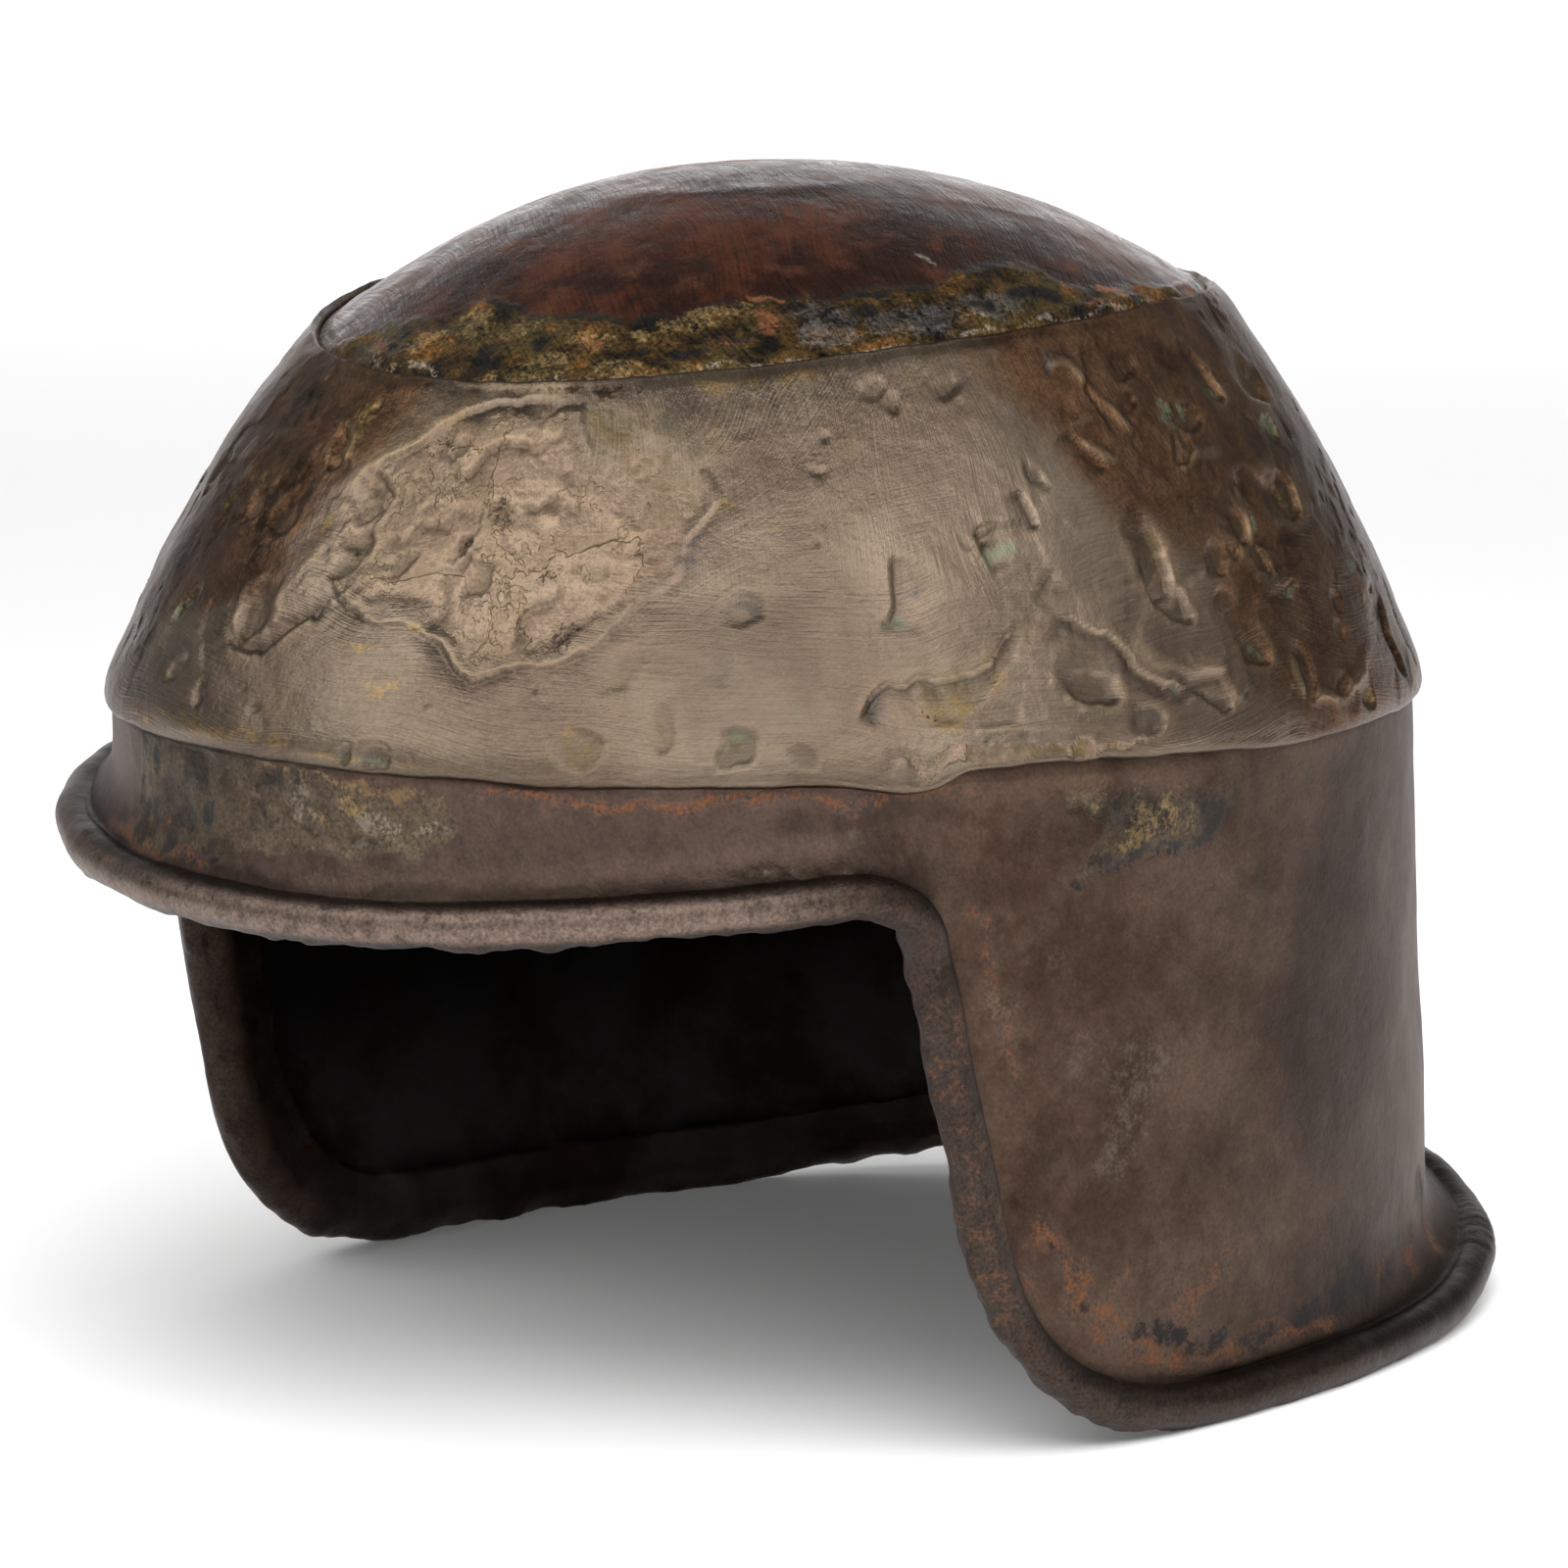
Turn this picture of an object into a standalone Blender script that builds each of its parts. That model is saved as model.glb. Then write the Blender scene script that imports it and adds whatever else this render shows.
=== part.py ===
"""An open helmet beaten from three plates: a shallow iron cap, a tapered bronze band, and a
lower body that is brow, side flaps and neck guard in one iron sheet with a rolled edge.

The wearer looks along -Y, +X is the wearer's left side and +Z is up. The helmet stands on
the lower edges of its side flaps, at z = 0, and its neck guard rises a little behind them.
"""
import math

import bmesh
import bpy
import numpy as np

MM = 0.001

# Plates
CAP_SHEET = 2.0 * MM
BAND_SHEET = 2.0 * MM
BODY_SHEET = 2.0 * MM
SEAM_GAP = 0.3 * MM
CAP_LAP = 10.0 * MM
BODY_LAP = 10.0 * MM

# Plan of the skull: half-lengths and half-widths of its ovals
PLAN_POWER = 2.12
SEAM_HALF_LENGTH = 79.0 * MM
SEAM_HALF_WIDTH = 68.0 * MM
BAND_HALF_LENGTH = 116.0 * MM
BAND_HALF_WIDTH = 100.5 * MM

# How far the lower body's wall leans out of the band's plan by the time it is at z = 0
FRONT_LEAN = 5.0 * MM
BACK_LEAN = 10.0 * MM
SIDE_LEAN = -3.5 * MM

# Heights above the surface that the helmet stands on
BAND_EDGE_HEIGHT = 112.5 * MM
BAND_EDGE_FRONT_RISE = 3.5 * MM
SEAM_HEIGHT = 176.0 * MM
SEAM_BACK_RISE = 2.3 * MM
SEAM_SIDE_RISE = 4.8 * MM
CAP_RISE = 26.6 * MM
CAP_POWER = 2.17
BAND_BULGE = 0.4

# Brow, flaps and neck guard. A reach is measured round the wall from the brow's middle.
BROW_HEIGHT = 92.0 * MM
BROW_SIDE_RISE = 6.9 * MM
TEMPLE_REACH = 118.5 * MM
FLAP_FOOT_REACH = 140.5 * MM
TEMPLE_CORNER = 14.0 * MM
FLAP_CORNER = 36.0 * MM
REST_LENGTH = 46.0 * MM
NECK_RISE = 12.0 * MM

# Rolled edge: its radius, and how far its middle stands out from the wall
ROLL_RADIUS = 3.7 * MM
BROW_STAND_OFF = 7.0 * MM
FLAP_STAND_OFF = 2.0 * MM
SIDE_STAND_OFF = 2.0 * MM
NECK_STAND_OFF = 8.5 * MM
HEM_SHEET = 1.6 * MM
HEM_WIDTH = 9.0 * MM
FLARE_WIDTH = 14.0 * MM

# The band's lower edge in section: height above the edge, stand-off as a share of the sheet
BAND_EDGE_SECTION = (
    (0.0 * MM, 0.35),
    (1.0 * MM, 0.86),
    (2.6 * MM, 1.08),
    (4.5 * MM, 1.15),
    (9.0 * MM, 1.04),
)
BAND_TOP_EDGE_SHARE = 0.8

# Facets
BAND_COLUMNS = 72
CAP_COLUMNS = 60
ROLL_SIDES = 10
BROW_STATIONS = 12
TEMPLE_STATIONS = 6
FLAP_STATIONS = 7
FOOT_STATIONS = 9
REST_STATIONS = 7
NECK_STATIONS = 17
SHEET_FAN = 2.0

# What follows from the sizes above
MEAN_RADIUS = (BAND_HALF_LENGTH + BAND_HALF_WIDTH) / 2
ROLL_HEIGHT = ROLL_RADIUS * math.cos(math.pi / ROLL_SIDES)
BAND_HEIGHT = SEAM_HEIGHT - BAND_EDGE_HEIGHT
TINY = 1e-4


def oval(angle, front, back, side):
    """Plan of an oval; angle 0 is the front and a quarter turn the wearer's left."""
    cosine, sine = np.cos(angle), np.sin(angle)
    length = np.where(cosine > 0, front, back)
    x = side * np.sign(sine) * np.abs(sine) ** (2 / PLAN_POWER)
    y = -length * np.sign(cosine) * np.abs(cosine) ** (2 / PLAN_POWER)
    return x, y


def oval_normal(x, y, front, back, side):
    """Outward direction, in plan, at a point of an oval."""
    length = np.where(y < 0, front, back)
    across = np.sign(x) * np.abs(x / side) ** (PLAN_POWER - 1) / side
    along = np.sign(y) * np.abs(y / length) ** (PLAN_POWER - 1) / length
    size = np.hypot(across, along)
    return across / size, along / size


def band_edge_height(angle):
    """Height of the band's lower edge, which is highest at the front."""
    return BAND_EDGE_HEIGHT + BAND_EDGE_FRONT_RISE * np.cos(angle)


def wall(angle, height, stand_off):
    """A point of the lower body's outer wall, moved out by stand_off."""
    share = 1 - height / band_edge_height(angle)
    front = BAND_HALF_LENGTH + FRONT_LEAN * share
    back = BAND_HALF_LENGTH + BACK_LEAN * share
    side = BAND_HALF_WIDTH + SIDE_LEAN * share
    x, y = oval(angle, front, back, side)
    across, along = oval_normal(x, y, front, back, side)
    return np.stack([x + across * stand_off, y + along * stand_off, height + 0 * x], axis=-1)


def seam_height(angle):
    """Height of the seam between band and cap, which is lowest at the front."""
    return SEAM_HEIGHT - SEAM_BACK_RISE * np.cos(angle) + SEAM_SIDE_RISE * np.sin(angle) ** 2


def band_bed(angle, share):
    """Inner face of the band: share 0 is its lower edge and share 1 its seam with the cap."""
    down = 1 - share
    spread = down * (1 + BAND_BULGE * (1 - down))
    low = BAND_HALF_LENGTH + SEAM_GAP
    low_side = BAND_HALF_WIDTH + SEAM_GAP
    length = SEAM_HALF_LENGTH + (low - SEAM_HALF_LENGTH) * spread
    side = SEAM_HALF_WIDTH + (low_side - SEAM_HALF_WIDTH) * spread
    x, y = oval(angle, length, length, side)
    low_height = band_edge_height(angle)
    height = low_height + (seam_height(angle) - low_height) * share
    return np.stack([x, y, height + 0 * x], axis=-1)


def surface_normal(surface, angle, share):
    """Outward unit normal of a surface that is given by an angle and a share."""
    round_it = surface(angle + TINY, share) - surface(angle - TINY, share)
    up_it = surface(angle, share + TINY) - surface(angle, share - TINY)
    normal = np.cross(round_it, up_it)
    return normal / np.linalg.norm(normal, axis=-1, keepdims=True)


def off_bed(angle, share, distance):
    """A point at a distance outside the band's inner face."""
    return band_bed(angle, share) + surface_normal(band_bed, angle, share) * distance


def cap_dome(angle, share):
    """Outer face of the cap: share 0 is its crown and share 1 its seam with the band."""
    seam = off_bed(angle, np.ones_like(angle), -SEAM_GAP)
    height = (SEAM_HEIGHT + (seam[..., 2] - SEAM_HEIGHT) * share ** 2
              + CAP_RISE * (1 - share ** CAP_POWER))
    return np.stack([seam[..., 0] * share, seam[..., 1] * share, height], axis=-1)


def cap_normal(angle, share):
    """Outward unit normal of the cap's dome."""
    return -surface_normal(cap_dome, angle, share)


def smooth_step(value):
    """0 to 1 with level ends."""
    value = np.clip(value, 0, 1)
    return value * value * (3 - 2 * value)


def bend(start, corner, end, count):
    """Points after start on the curve that rounds a corner, count of them, up to end."""
    shares = np.linspace(0, 1, count + 1)[1:, None]
    return start * (1 - shares) ** 2 + 2 * corner * shares * (1 - shares) + end * shares ** 2


def straight(start, end, count):
    """Points after start on a straight run, count of them, up to end."""
    return start + (end - start) * np.linspace(0, 1, count + 1)[1:, None]


def brow_edge_height(angle, temple):
    """Height of the rolled edge's middle along the brow."""
    return BROW_HEIGHT + BROW_SIDE_RISE * (np.sin(angle) / math.sin(temple)) ** 2


def edge_route():
    """Middle of the rolled edge on one side, from the brow to the back of the neck.

    Gives, for each station, the reach round the wall, the height, the stand-off from the
    wall, and the angle at which its column of the sheet meets the band.
    """
    temple = TEMPLE_REACH / MEAN_RADIUS
    brow_end = (TEMPLE_REACH - TEMPLE_CORNER) / MEAN_RADIUS
    angles = np.linspace(0, brow_end, BROW_STATIONS)
    brow = np.stack([angles * MEAN_RADIUS, brow_edge_height(angles, temple)], axis=-1)

    temple_point = np.array([TEMPLE_REACH, brow_edge_height(temple, temple)])
    foot_point = np.array([FLAP_FOOT_REACH, ROLL_HEIGHT])
    slope = (foot_point - temple_point) / np.linalg.norm(foot_point - temple_point)
    flap_start = temple_point + slope * TEMPLE_CORNER
    flap_end = foot_point - slope * FLAP_CORNER
    side_start = foot_point + np.array([FLAP_CORNER, 0])

    temple_run = bend(brow[-1], temple_point, flap_start, TEMPLE_STATIONS)
    flap_run = straight(flap_start, flap_end, FLAP_STATIONS)
    foot_run = bend(flap_end, foot_point, side_start, FOOT_STATIONS)

    back_reach = math.pi * MEAN_RADIUS
    rest_end = side_start[0] + REST_LENGTH
    back = np.linspace(rest_end, back_reach, NECK_STATIONS + 1)[1:]
    rise = NECK_RISE * smooth_step((back - rest_end) / (back_reach - rest_end))
    rest_run = straight(side_start, side_start + np.array([REST_LENGTH, 0]), REST_STATIONS)
    neck_run = np.stack([back, ROLL_HEIGHT + rise], axis=-1)

    route = np.concatenate([brow, temple_run, flap_run, foot_run, rest_run, neck_run])
    reach, height = route[:, 0], route[:, 1]
    first_flap = len(brow) - 1
    last_foot = first_flap + TEMPLE_STATIONS + FLAP_STATIONS + FOOT_STATIONS

    into_flap = smooth_step((temple_point[1] - height) / TEMPLE_CORNER)
    stand_off = BROW_STAND_OFF + (FLAP_STAND_OFF - BROW_STAND_OFF) * into_flap
    into_foot = smooth_step((reach - flap_end[0]) / (side_start[0] - flap_end[0]))
    low = height < flap_end[1]
    stand_off = np.where(low, FLAP_STAND_OFF + (SIDE_STAND_OFF - FLAP_STAND_OFF) * into_foot,
                         stand_off)
    into_neck = smooth_step((reach - side_start[0]) / (back_reach - side_start[0]) * 1.5)
    stand_off = stand_off + (NECK_STAND_OFF - SIDE_STAND_OFF) * into_neck

    top_angle = reach / MEAN_RADIUS
    between = np.arange(first_flap, last_foot + 1)
    # Columns spread faster at the temple's corner, so that none crosses another
    progress = np.linspace(0, 1, len(between))
    progress = progress * SHEET_FAN / (1 + (SHEET_FAN - 1) * progress)
    top_angle[between] = top_angle[first_flap] + progress * (top_angle[last_foot] - top_angle[first_flap])
    return reach, height, stand_off, top_angle


def mirrored(half, sign):
    """A half list from front to back, followed by its mirror image on the way back."""
    return np.concatenate([half, sign * half[-2:0:-1]])


def flare(stand_off, depth):
    """How far the sheet has turned out of the wall, at a depth from the rolled edge's middle."""
    crease_depth = ROLL_RADIUS * 0.84
    crease_out = stand_off - ROLL_RADIUS * 0.55
    left = np.clip((FLARE_WIDTH - depth) / (FLARE_WIDTH - crease_depth), 0, 1)
    return crease_out * left ** 2.4


def body_rows():
    """The lower body as a list of rings, each one row of points round the helmet."""
    reach, height, stand_off, top_angle = edge_route()
    reach, top_angle = mirrored(reach, -1), mirrored(top_angle, -1)
    height, stand_off = mirrored(height, 1), mirrored(stand_off, 1)
    turn = reach / MEAN_RADIUS

    # Directions along the edge, out of the wall, and away from the sheet
    centre = wall(turn, height, stand_off)
    along = np.roll(centre, -1, axis=0) - np.roll(centre, 1, axis=0)
    out = wall(turn, height, stand_off + 1 * MM) - centre
    away = np.cross(along, out)
    away /= np.linalg.norm(away, axis=1, keepdims=True)
    out = np.cross(away, along)
    out /= np.linalg.norm(out, axis=1, keepdims=True)
    away_reach = np.hypot(away[:, 0], away[:, 1]) * np.sign(
        np.sum(away[:, :2] * (wall(turn + TINY, height, stand_off) - centre)[:, :2], axis=1))
    away_height = away[:, 2]

    def sheet(depth, inward):
        """A ring on the sheet, at a depth from the rolled edge's middle."""
        return wall((reach - away_reach * depth) / MEAN_RADIUS, height - away_height * depth,
                    flare(stand_off, depth) - inward)

    def roll(degrees):
        """A ring on the rolled edge; 0 points away from the sheet and 90 out of the wall."""
        angle = math.radians(degrees)
        return centre + ROLL_RADIUS * (math.sin(angle) * out + math.cos(angle) * away)

    edge_turn = (reach - away_reach * FLARE_WIDTH) / MEAN_RADIUS
    edge_height = height - away_height * FLARE_WIDTH
    top_height = band_edge_height(top_angle)

    def upper(share, inward):
        """A ring between the flare, at share 0, and the band's lower edge, at share 1."""
        turn_here = edge_turn + (top_angle - edge_turn) * share
        height_here = edge_height + (top_height - edge_height) * share
        return wall(turn_here, height_here, -inward)

    def lap(share, inward):
        """A ring on the part of the sheet that goes up inside the band."""
        return off_bed(top_angle, share, -SEAM_GAP - inward)

    level = np.zeros_like(top_angle)
    lap_share = level + BODY_LAP / BAND_HEIGHT
    rows = [lap(lap_share, 0), upper(1, 0), upper(0.66, 0), upper(0.33, 0), upper(0, 0)]
    rows += [sheet(depth * MM, 0) for depth in (10.5, 7.5, 5.0)]
    rows += [roll(degrees) for degrees in (212, 194, 162, 126, 90, 54, 18, -18, -54)]
    inner = BODY_SHEET + HEM_SHEET
    rows += [sheet(1.0 * MM, inner), sheet(5.0 * MM, inner), sheet(HEM_WIDTH, inner)]
    rows += [sheet(HEM_WIDTH + 0.6 * MM, BODY_SHEET), upper(0, BODY_SHEET)]
    rows += [upper(0.5, BODY_SHEET), upper(1, BODY_SHEET), lap(lap_share, BODY_SHEET)]
    return rows


def band_rows():
    """The middle band as a list of rings."""
    angle = np.linspace(0, 2 * math.pi, BAND_COLUMNS, endpoint=False)
    level = np.zeros_like(angle)
    top = level + 1.0
    rows = []
    for height, share_of_sheet in BAND_EDGE_SECTION:
        rows.append(off_bed(angle, level + height / BAND_HEIGHT, BAND_SHEET * share_of_sheet))
    for share in (0.28, 0.42, 0.56, 0.70, 0.84, 0.97):
        rows.append(off_bed(angle, level + share, BAND_SHEET))
    rows.append(off_bed(angle, top, BAND_SHEET * BAND_TOP_EDGE_SHARE))
    lap_top = 1 - CAP_LAP / BAND_HEIGHT
    lap_foot = BODY_LAP / BAND_HEIGHT
    for share in (1.0, lap_top, 0.62, 0.38, lap_foot, 0.0):
        rows.append(off_bed(angle, level + share, 0.0))
    return rows


def cap_rows():
    """The skull cap as rings from the middle of its outer face to that of its inner face."""
    angle = np.linspace(0, 2 * math.pi, CAP_COLUMNS, endpoint=False)
    level = np.zeros_like(angle)
    rows = [cap_dome(angle, level + share) for share in (0.14, 0.3, 0.46, 0.62, 0.77, 0.9, 1.0)]
    foot = level + 1 - CAP_LAP / BAND_HEIGHT
    rows.append(off_bed(angle, foot, -SEAM_GAP))
    rows.append(off_bed(angle, foot, -SEAM_GAP - CAP_SHEET))
    bed_normal = surface_normal(band_bed, angle, level + 1)
    dome_normal = cap_normal(angle, level + 1)
    both = bed_normal + dome_normal
    mitre = both / (1 + np.sum(bed_normal * dome_normal, axis=1, keepdims=True))
    rows.append(cap_dome(angle, level + 1) - mitre * CAP_SHEET)
    for share in (0.86, 0.72, 0.55, 0.36, 0.16):
        rows.append(cap_dome(angle, level + share) - cap_normal(angle, level + share) * CAP_SHEET)
    return rows


def new_object(name, mesh_maker, material):
    """An object whose mesh is filled by mesh_maker, with its faces pointing out."""
    mesh = bpy.data.meshes.new(name)
    shape = bmesh.new()
    mesh_maker(shape)
    bmesh.ops.recalc_face_normals(shape, faces=shape.faces)
    shape.to_mesh(mesh)
    shape.free()
    mesh.materials.append(material)
    mesh.shade_smooth()
    mesh.set_sharp_from_angle(angle=math.radians(38))
    piece = bpy.data.objects.new(name, mesh)
    piece.location.y = skull_place()
    bpy.context.scene.collection.objects.link(piece)
    return piece


def add_rings(shape, rows):
    """Put each row's points in the shape and join neighbouring rows with faces."""
    rings = [[shape.verts.new(point) for point in row] for row in rows]
    for upper_ring, lower_ring in zip(rings, rings[1:]):
        join_rings(shape, upper_ring, lower_ring)
    return rings


def join_rings(shape, first, second):
    """A strip of faces between two closed rings."""
    for place, corner in enumerate(first):
        after = (place + 1) % len(first)
        shape.faces.new((corner, first[after], second[after], second[place]))


def close_with_point(shape, ring, point):
    """A fan of faces from a ring to a point."""
    middle = shape.verts.new(point)
    for place, corner in enumerate(ring):
        shape.faces.new((corner, ring[(place + 1) % len(ring)], middle))


def make_tube(rows):
    """A maker for a hollow ring, whose last row joins its first."""
    def fill(shape):
        rings = add_rings(shape, rows)
        join_rings(shape, rings[-1], rings[0])
    return fill


def make_bowl(rows, outer_point, inner_point):
    """A maker for a bowl, closed by a point outside and a point inside."""
    def fill(shape):
        rings = add_rings(shape, rows)
        close_with_point(shape, rings[0], outer_point)
        close_with_point(shape, rings[-1], inner_point)
    return fill


def skull_place():
    """Where the skull's middle lies in y, so that the origin is under the helmet's middle."""
    front = -wall(np.array([0.0]), np.array([BROW_HEIGHT]), BROW_STAND_OFF)[0, 1]
    neck_height = np.array([ROLL_HEIGHT + NECK_RISE])
    back = wall(np.array([math.pi]), neck_height, NECK_STAND_OFF)[0, 1]
    return (front - back) / 2


def metal(name, colour, roughness, metallic):
    """A plain metal finish."""
    material = bpy.data.materials.new(name)
    material.use_nodes = True
    shader = material.node_tree.nodes["Principled BSDF"]
    shader.inputs["Base Color"].default_value = (*colour, 1.0)
    shader.inputs["Roughness"].default_value = roughness
    shader.inputs["Metallic"].default_value = metallic
    material.diffuse_color = (*colour, 1.0)
    return material


def make_skull_cap():
    """The shallow iron cap on top."""
    crown = (0, 0, SEAM_HEIGHT + CAP_RISE)
    under = (0, 0, SEAM_HEIGHT + CAP_RISE - CAP_SHEET)
    iron = metal("cap_iron", (0.085, 0.042, 0.030), 0.42, 0.8)
    return new_object("skull_cap", make_bowl(cap_rows(), crown, under), iron)


def make_middle_band():
    """The tapered bronze band round the skull."""
    bronze = metal("band_bronze", (0.210, 0.145, 0.088), 0.38, 0.9)
    return new_object("middle_band", make_tube(band_rows()), bronze)


def make_lower_body():
    """Brow, side flaps and neck guard, with the edge that is rolled round them."""
    iron = metal("body_iron", (0.105, 0.068, 0.050), 0.50, 0.8)
    return new_object("lower_body", make_tube(body_rows()), iron)


def clear_scene():
    """Take away whatever the scene starts with."""
    for piece in list(bpy.data.objects):
        bpy.data.objects.remove(piece, do_unlink=True)


clear_scene()
make_skull_cap()
make_middle_band()
make_lower_body()
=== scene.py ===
import itertools
import math
from collections import namedtuple

import bpy
import numpy as np
from mathutils import Matrix, Vector


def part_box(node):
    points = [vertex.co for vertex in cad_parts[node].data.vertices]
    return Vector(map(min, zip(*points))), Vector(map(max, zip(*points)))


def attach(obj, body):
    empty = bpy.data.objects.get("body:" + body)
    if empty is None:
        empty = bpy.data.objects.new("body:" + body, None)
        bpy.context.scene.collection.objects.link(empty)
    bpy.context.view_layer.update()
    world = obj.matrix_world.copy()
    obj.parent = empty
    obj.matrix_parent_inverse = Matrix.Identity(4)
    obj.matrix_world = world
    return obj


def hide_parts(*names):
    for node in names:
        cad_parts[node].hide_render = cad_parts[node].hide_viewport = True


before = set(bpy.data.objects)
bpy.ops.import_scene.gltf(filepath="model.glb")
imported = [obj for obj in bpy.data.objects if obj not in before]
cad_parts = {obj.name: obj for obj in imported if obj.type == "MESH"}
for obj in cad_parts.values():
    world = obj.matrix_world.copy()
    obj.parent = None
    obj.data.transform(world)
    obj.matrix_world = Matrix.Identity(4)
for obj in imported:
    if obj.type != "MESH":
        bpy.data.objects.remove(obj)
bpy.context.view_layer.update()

MM = 0.001


# Sizes of the plates, as in the part
CAP_SHEET = 2.0
BAND_SHEET = 2.0
BODY_SHEET = 2.0
SEAM_GAP = 0.3
CAP_LAP = 10.0
BODY_LAP = 10.0
PLAN_POWER = 2.12
SEAM_HALF_LENGTH = 79.0
SEAM_HALF_WIDTH = 68.0
BAND_HALF_LENGTH = 116.0
BAND_HALF_WIDTH = 100.5
FRONT_LEAN = 5.0
BACK_LEAN = 10.0
SIDE_LEAN = -3.5
BAND_EDGE_HEIGHT = 112.5
BAND_EDGE_FRONT_RISE = 3.5
SEAM_HEIGHT = 176.0
SEAM_BACK_RISE = 2.3
SEAM_SIDE_RISE = 4.8
CAP_RISE = 26.6
CAP_POWER = 2.17
BAND_BULGE = 0.4
BROW_HEIGHT = 92.0
BROW_SIDE_RISE = 6.9
TEMPLE_REACH = 118.5
FLAP_FOOT_REACH = 140.5
TEMPLE_CORNER = 14.0
FLAP_CORNER = 36.0
REST_LENGTH = 46.0
NECK_RISE = 12.0
ROLL_RADIUS = 3.7
ROLL_HEIGHT = ROLL_RADIUS * math.cos(math.pi / 10)
BROW_STAND_OFF = 7.0
FLAP_STAND_OFF = 2.0
NECK_STAND_OFF = 8.5
HEM_SHEET = 1.6
HEM_WIDTH = 9.0
FLARE_WIDTH = 14.0
BAND_EDGE_ROUND = 4.5
BAND_TOP_EDGE_SHARE = 0.8
MEAN_RADIUS = (BAND_HALF_LENGTH + BAND_HALF_WIDTH) / 2
BAND_HEIGHT = SEAM_HEIGHT - BAND_EDGE_HEIGHT
BAND_SLANT = 74.0
CAP_SLANT = 82.0
CREASE_REACH = 0.84
CREASE_DEPTH = 0.55
FLARE_POWER = 2.4
TINY = 1e-4

# Radii at which the marks that run along a plate are laid out, for the band and the lower body
BAND_MAP_RADIUS = 95.0
BODY_MAP_RADIUS = 100.0

# How finely the plates are meshed: columns round them and rows across them, and how much closer
# the columns are on the side that faces the camera. A route's stations are those of its brow,
# temple corner, flap, flap corner, resting length and neck.
NEAR_SIDE_CROWDING = 2.2
BAND_COLUMNS = 780
BAND_ROWS = 116
CAP_COLUMNS = 560
CAP_ROWS = 130
LEFT_STATIONS = (120, 34, 70, 66, 40, 110)
RIGHT_STATIONS = (100, 26, 46, 44, 26, 64)
UPPER_ROWS = 58

# How far the lower body's columns fan out below the band, so that they don't meet at the temples
SHEET_FAN = 3.0

# Turn of the side that faces the camera, and turns between which brushed strokes fade out at the
# back, where the two ends of a plate's map meet
FACING = 46.0
STROKES_FADE = (178, 160)

# Where the band's rough wear is worst: turns at its middle, with how far from them it fades out
SIDE_WEAR_TURN = 114
SIDE_WEAR_FADE = (62, 22)
FRONT_WEAR_TURN = -24
FRONT_WEAR_FADE = (42, 22)
GILDED_TURN = 10
GILDED_FADE = (45, 5)

# Shares of the way down the cap: its solder's edge where none is charted, and the ledge above
# the seam
CAP_SOLDER_ELSEWHERE = 0.985
CAP_LEDGE = 0.968
CAP_LEDGE_WIDTH = 0.008


# Surfaces of the plates

def oval(angle, front, back, side):
    """Plan of an oval; angle 0 is the front and a quarter turn the wearer's left."""
    cosine, sine = np.cos(angle), np.sin(angle)
    length = np.where(cosine > 0, front, back)
    x = side * np.sign(sine) * np.abs(sine) ** (2 / PLAN_POWER)
    y = -length * np.sign(cosine) * np.abs(cosine) ** (2 / PLAN_POWER)
    return x, y


def oval_normal(x, y, front, back, side):
    """Outward direction, in plan, at a point of an oval."""
    length = np.where(y < 0, front, back)
    across = np.sign(x) * np.abs(x / side) ** (PLAN_POWER - 1) / side
    along = np.sign(y) * np.abs(y / length) ** (PLAN_POWER - 1) / length
    size = np.hypot(across, along)
    return across / size, along / size


def band_edge_height(angle):
    """Height of the band's lower edge, which is highest at the front."""
    return BAND_EDGE_HEIGHT + BAND_EDGE_FRONT_RISE * np.cos(angle)


def wall(angle, height, stand_off):
    """A point of the lower body's outer wall, moved out by stand_off."""
    share = 1 - height / band_edge_height(angle)
    front = BAND_HALF_LENGTH + FRONT_LEAN * share
    back = BAND_HALF_LENGTH + BACK_LEAN * share
    side = BAND_HALF_WIDTH + SIDE_LEAN * share
    x, y = oval(angle, front, back, side)
    across, along = oval_normal(x, y, front, back, side)
    return np.stack([x + across * stand_off, y + along * stand_off, height + 0 * x], axis=-1)


def seam_height(angle):
    """Height of the seam between band and cap, which is lowest at the front."""
    return SEAM_HEIGHT - SEAM_BACK_RISE * np.cos(angle) + SEAM_SIDE_RISE * np.sin(angle) ** 2


def band_bed(angle, share):
    """Inner face of the band: share 0 is its lower edge and share 1 its seam with the cap."""
    down = 1 - share
    spread = down * (1 + BAND_BULGE * (1 - down))
    low = BAND_HALF_LENGTH + SEAM_GAP
    low_side = BAND_HALF_WIDTH + SEAM_GAP
    length = SEAM_HALF_LENGTH + (low - SEAM_HALF_LENGTH) * spread
    side = SEAM_HALF_WIDTH + (low_side - SEAM_HALF_WIDTH) * spread
    x, y = oval(angle, length, length, side)
    low_height = band_edge_height(angle)
    height = low_height + (seam_height(angle) - low_height) * share
    return np.stack([x, y, height + 0 * x], axis=-1)


def surface_normal(surface, angle, share):
    """Outward unit normal of a surface that is given by an angle and a share."""
    round_it = surface(angle + TINY, share) - surface(angle - TINY, share)
    up_it = surface(angle, share + TINY) - surface(angle, share - TINY)
    return unit(np.cross(round_it, up_it))


def unit(arrows):
    """The same arrows with length 1."""
    return arrows / np.linalg.norm(arrows, axis=-1, keepdims=True)


def off_bed(angle, share, distance):
    """A point at a distance outside the band's inner face."""
    distance = np.asarray(distance)[..., None]
    return band_bed(angle, share) + surface_normal(band_bed, angle, share) * distance


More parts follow.
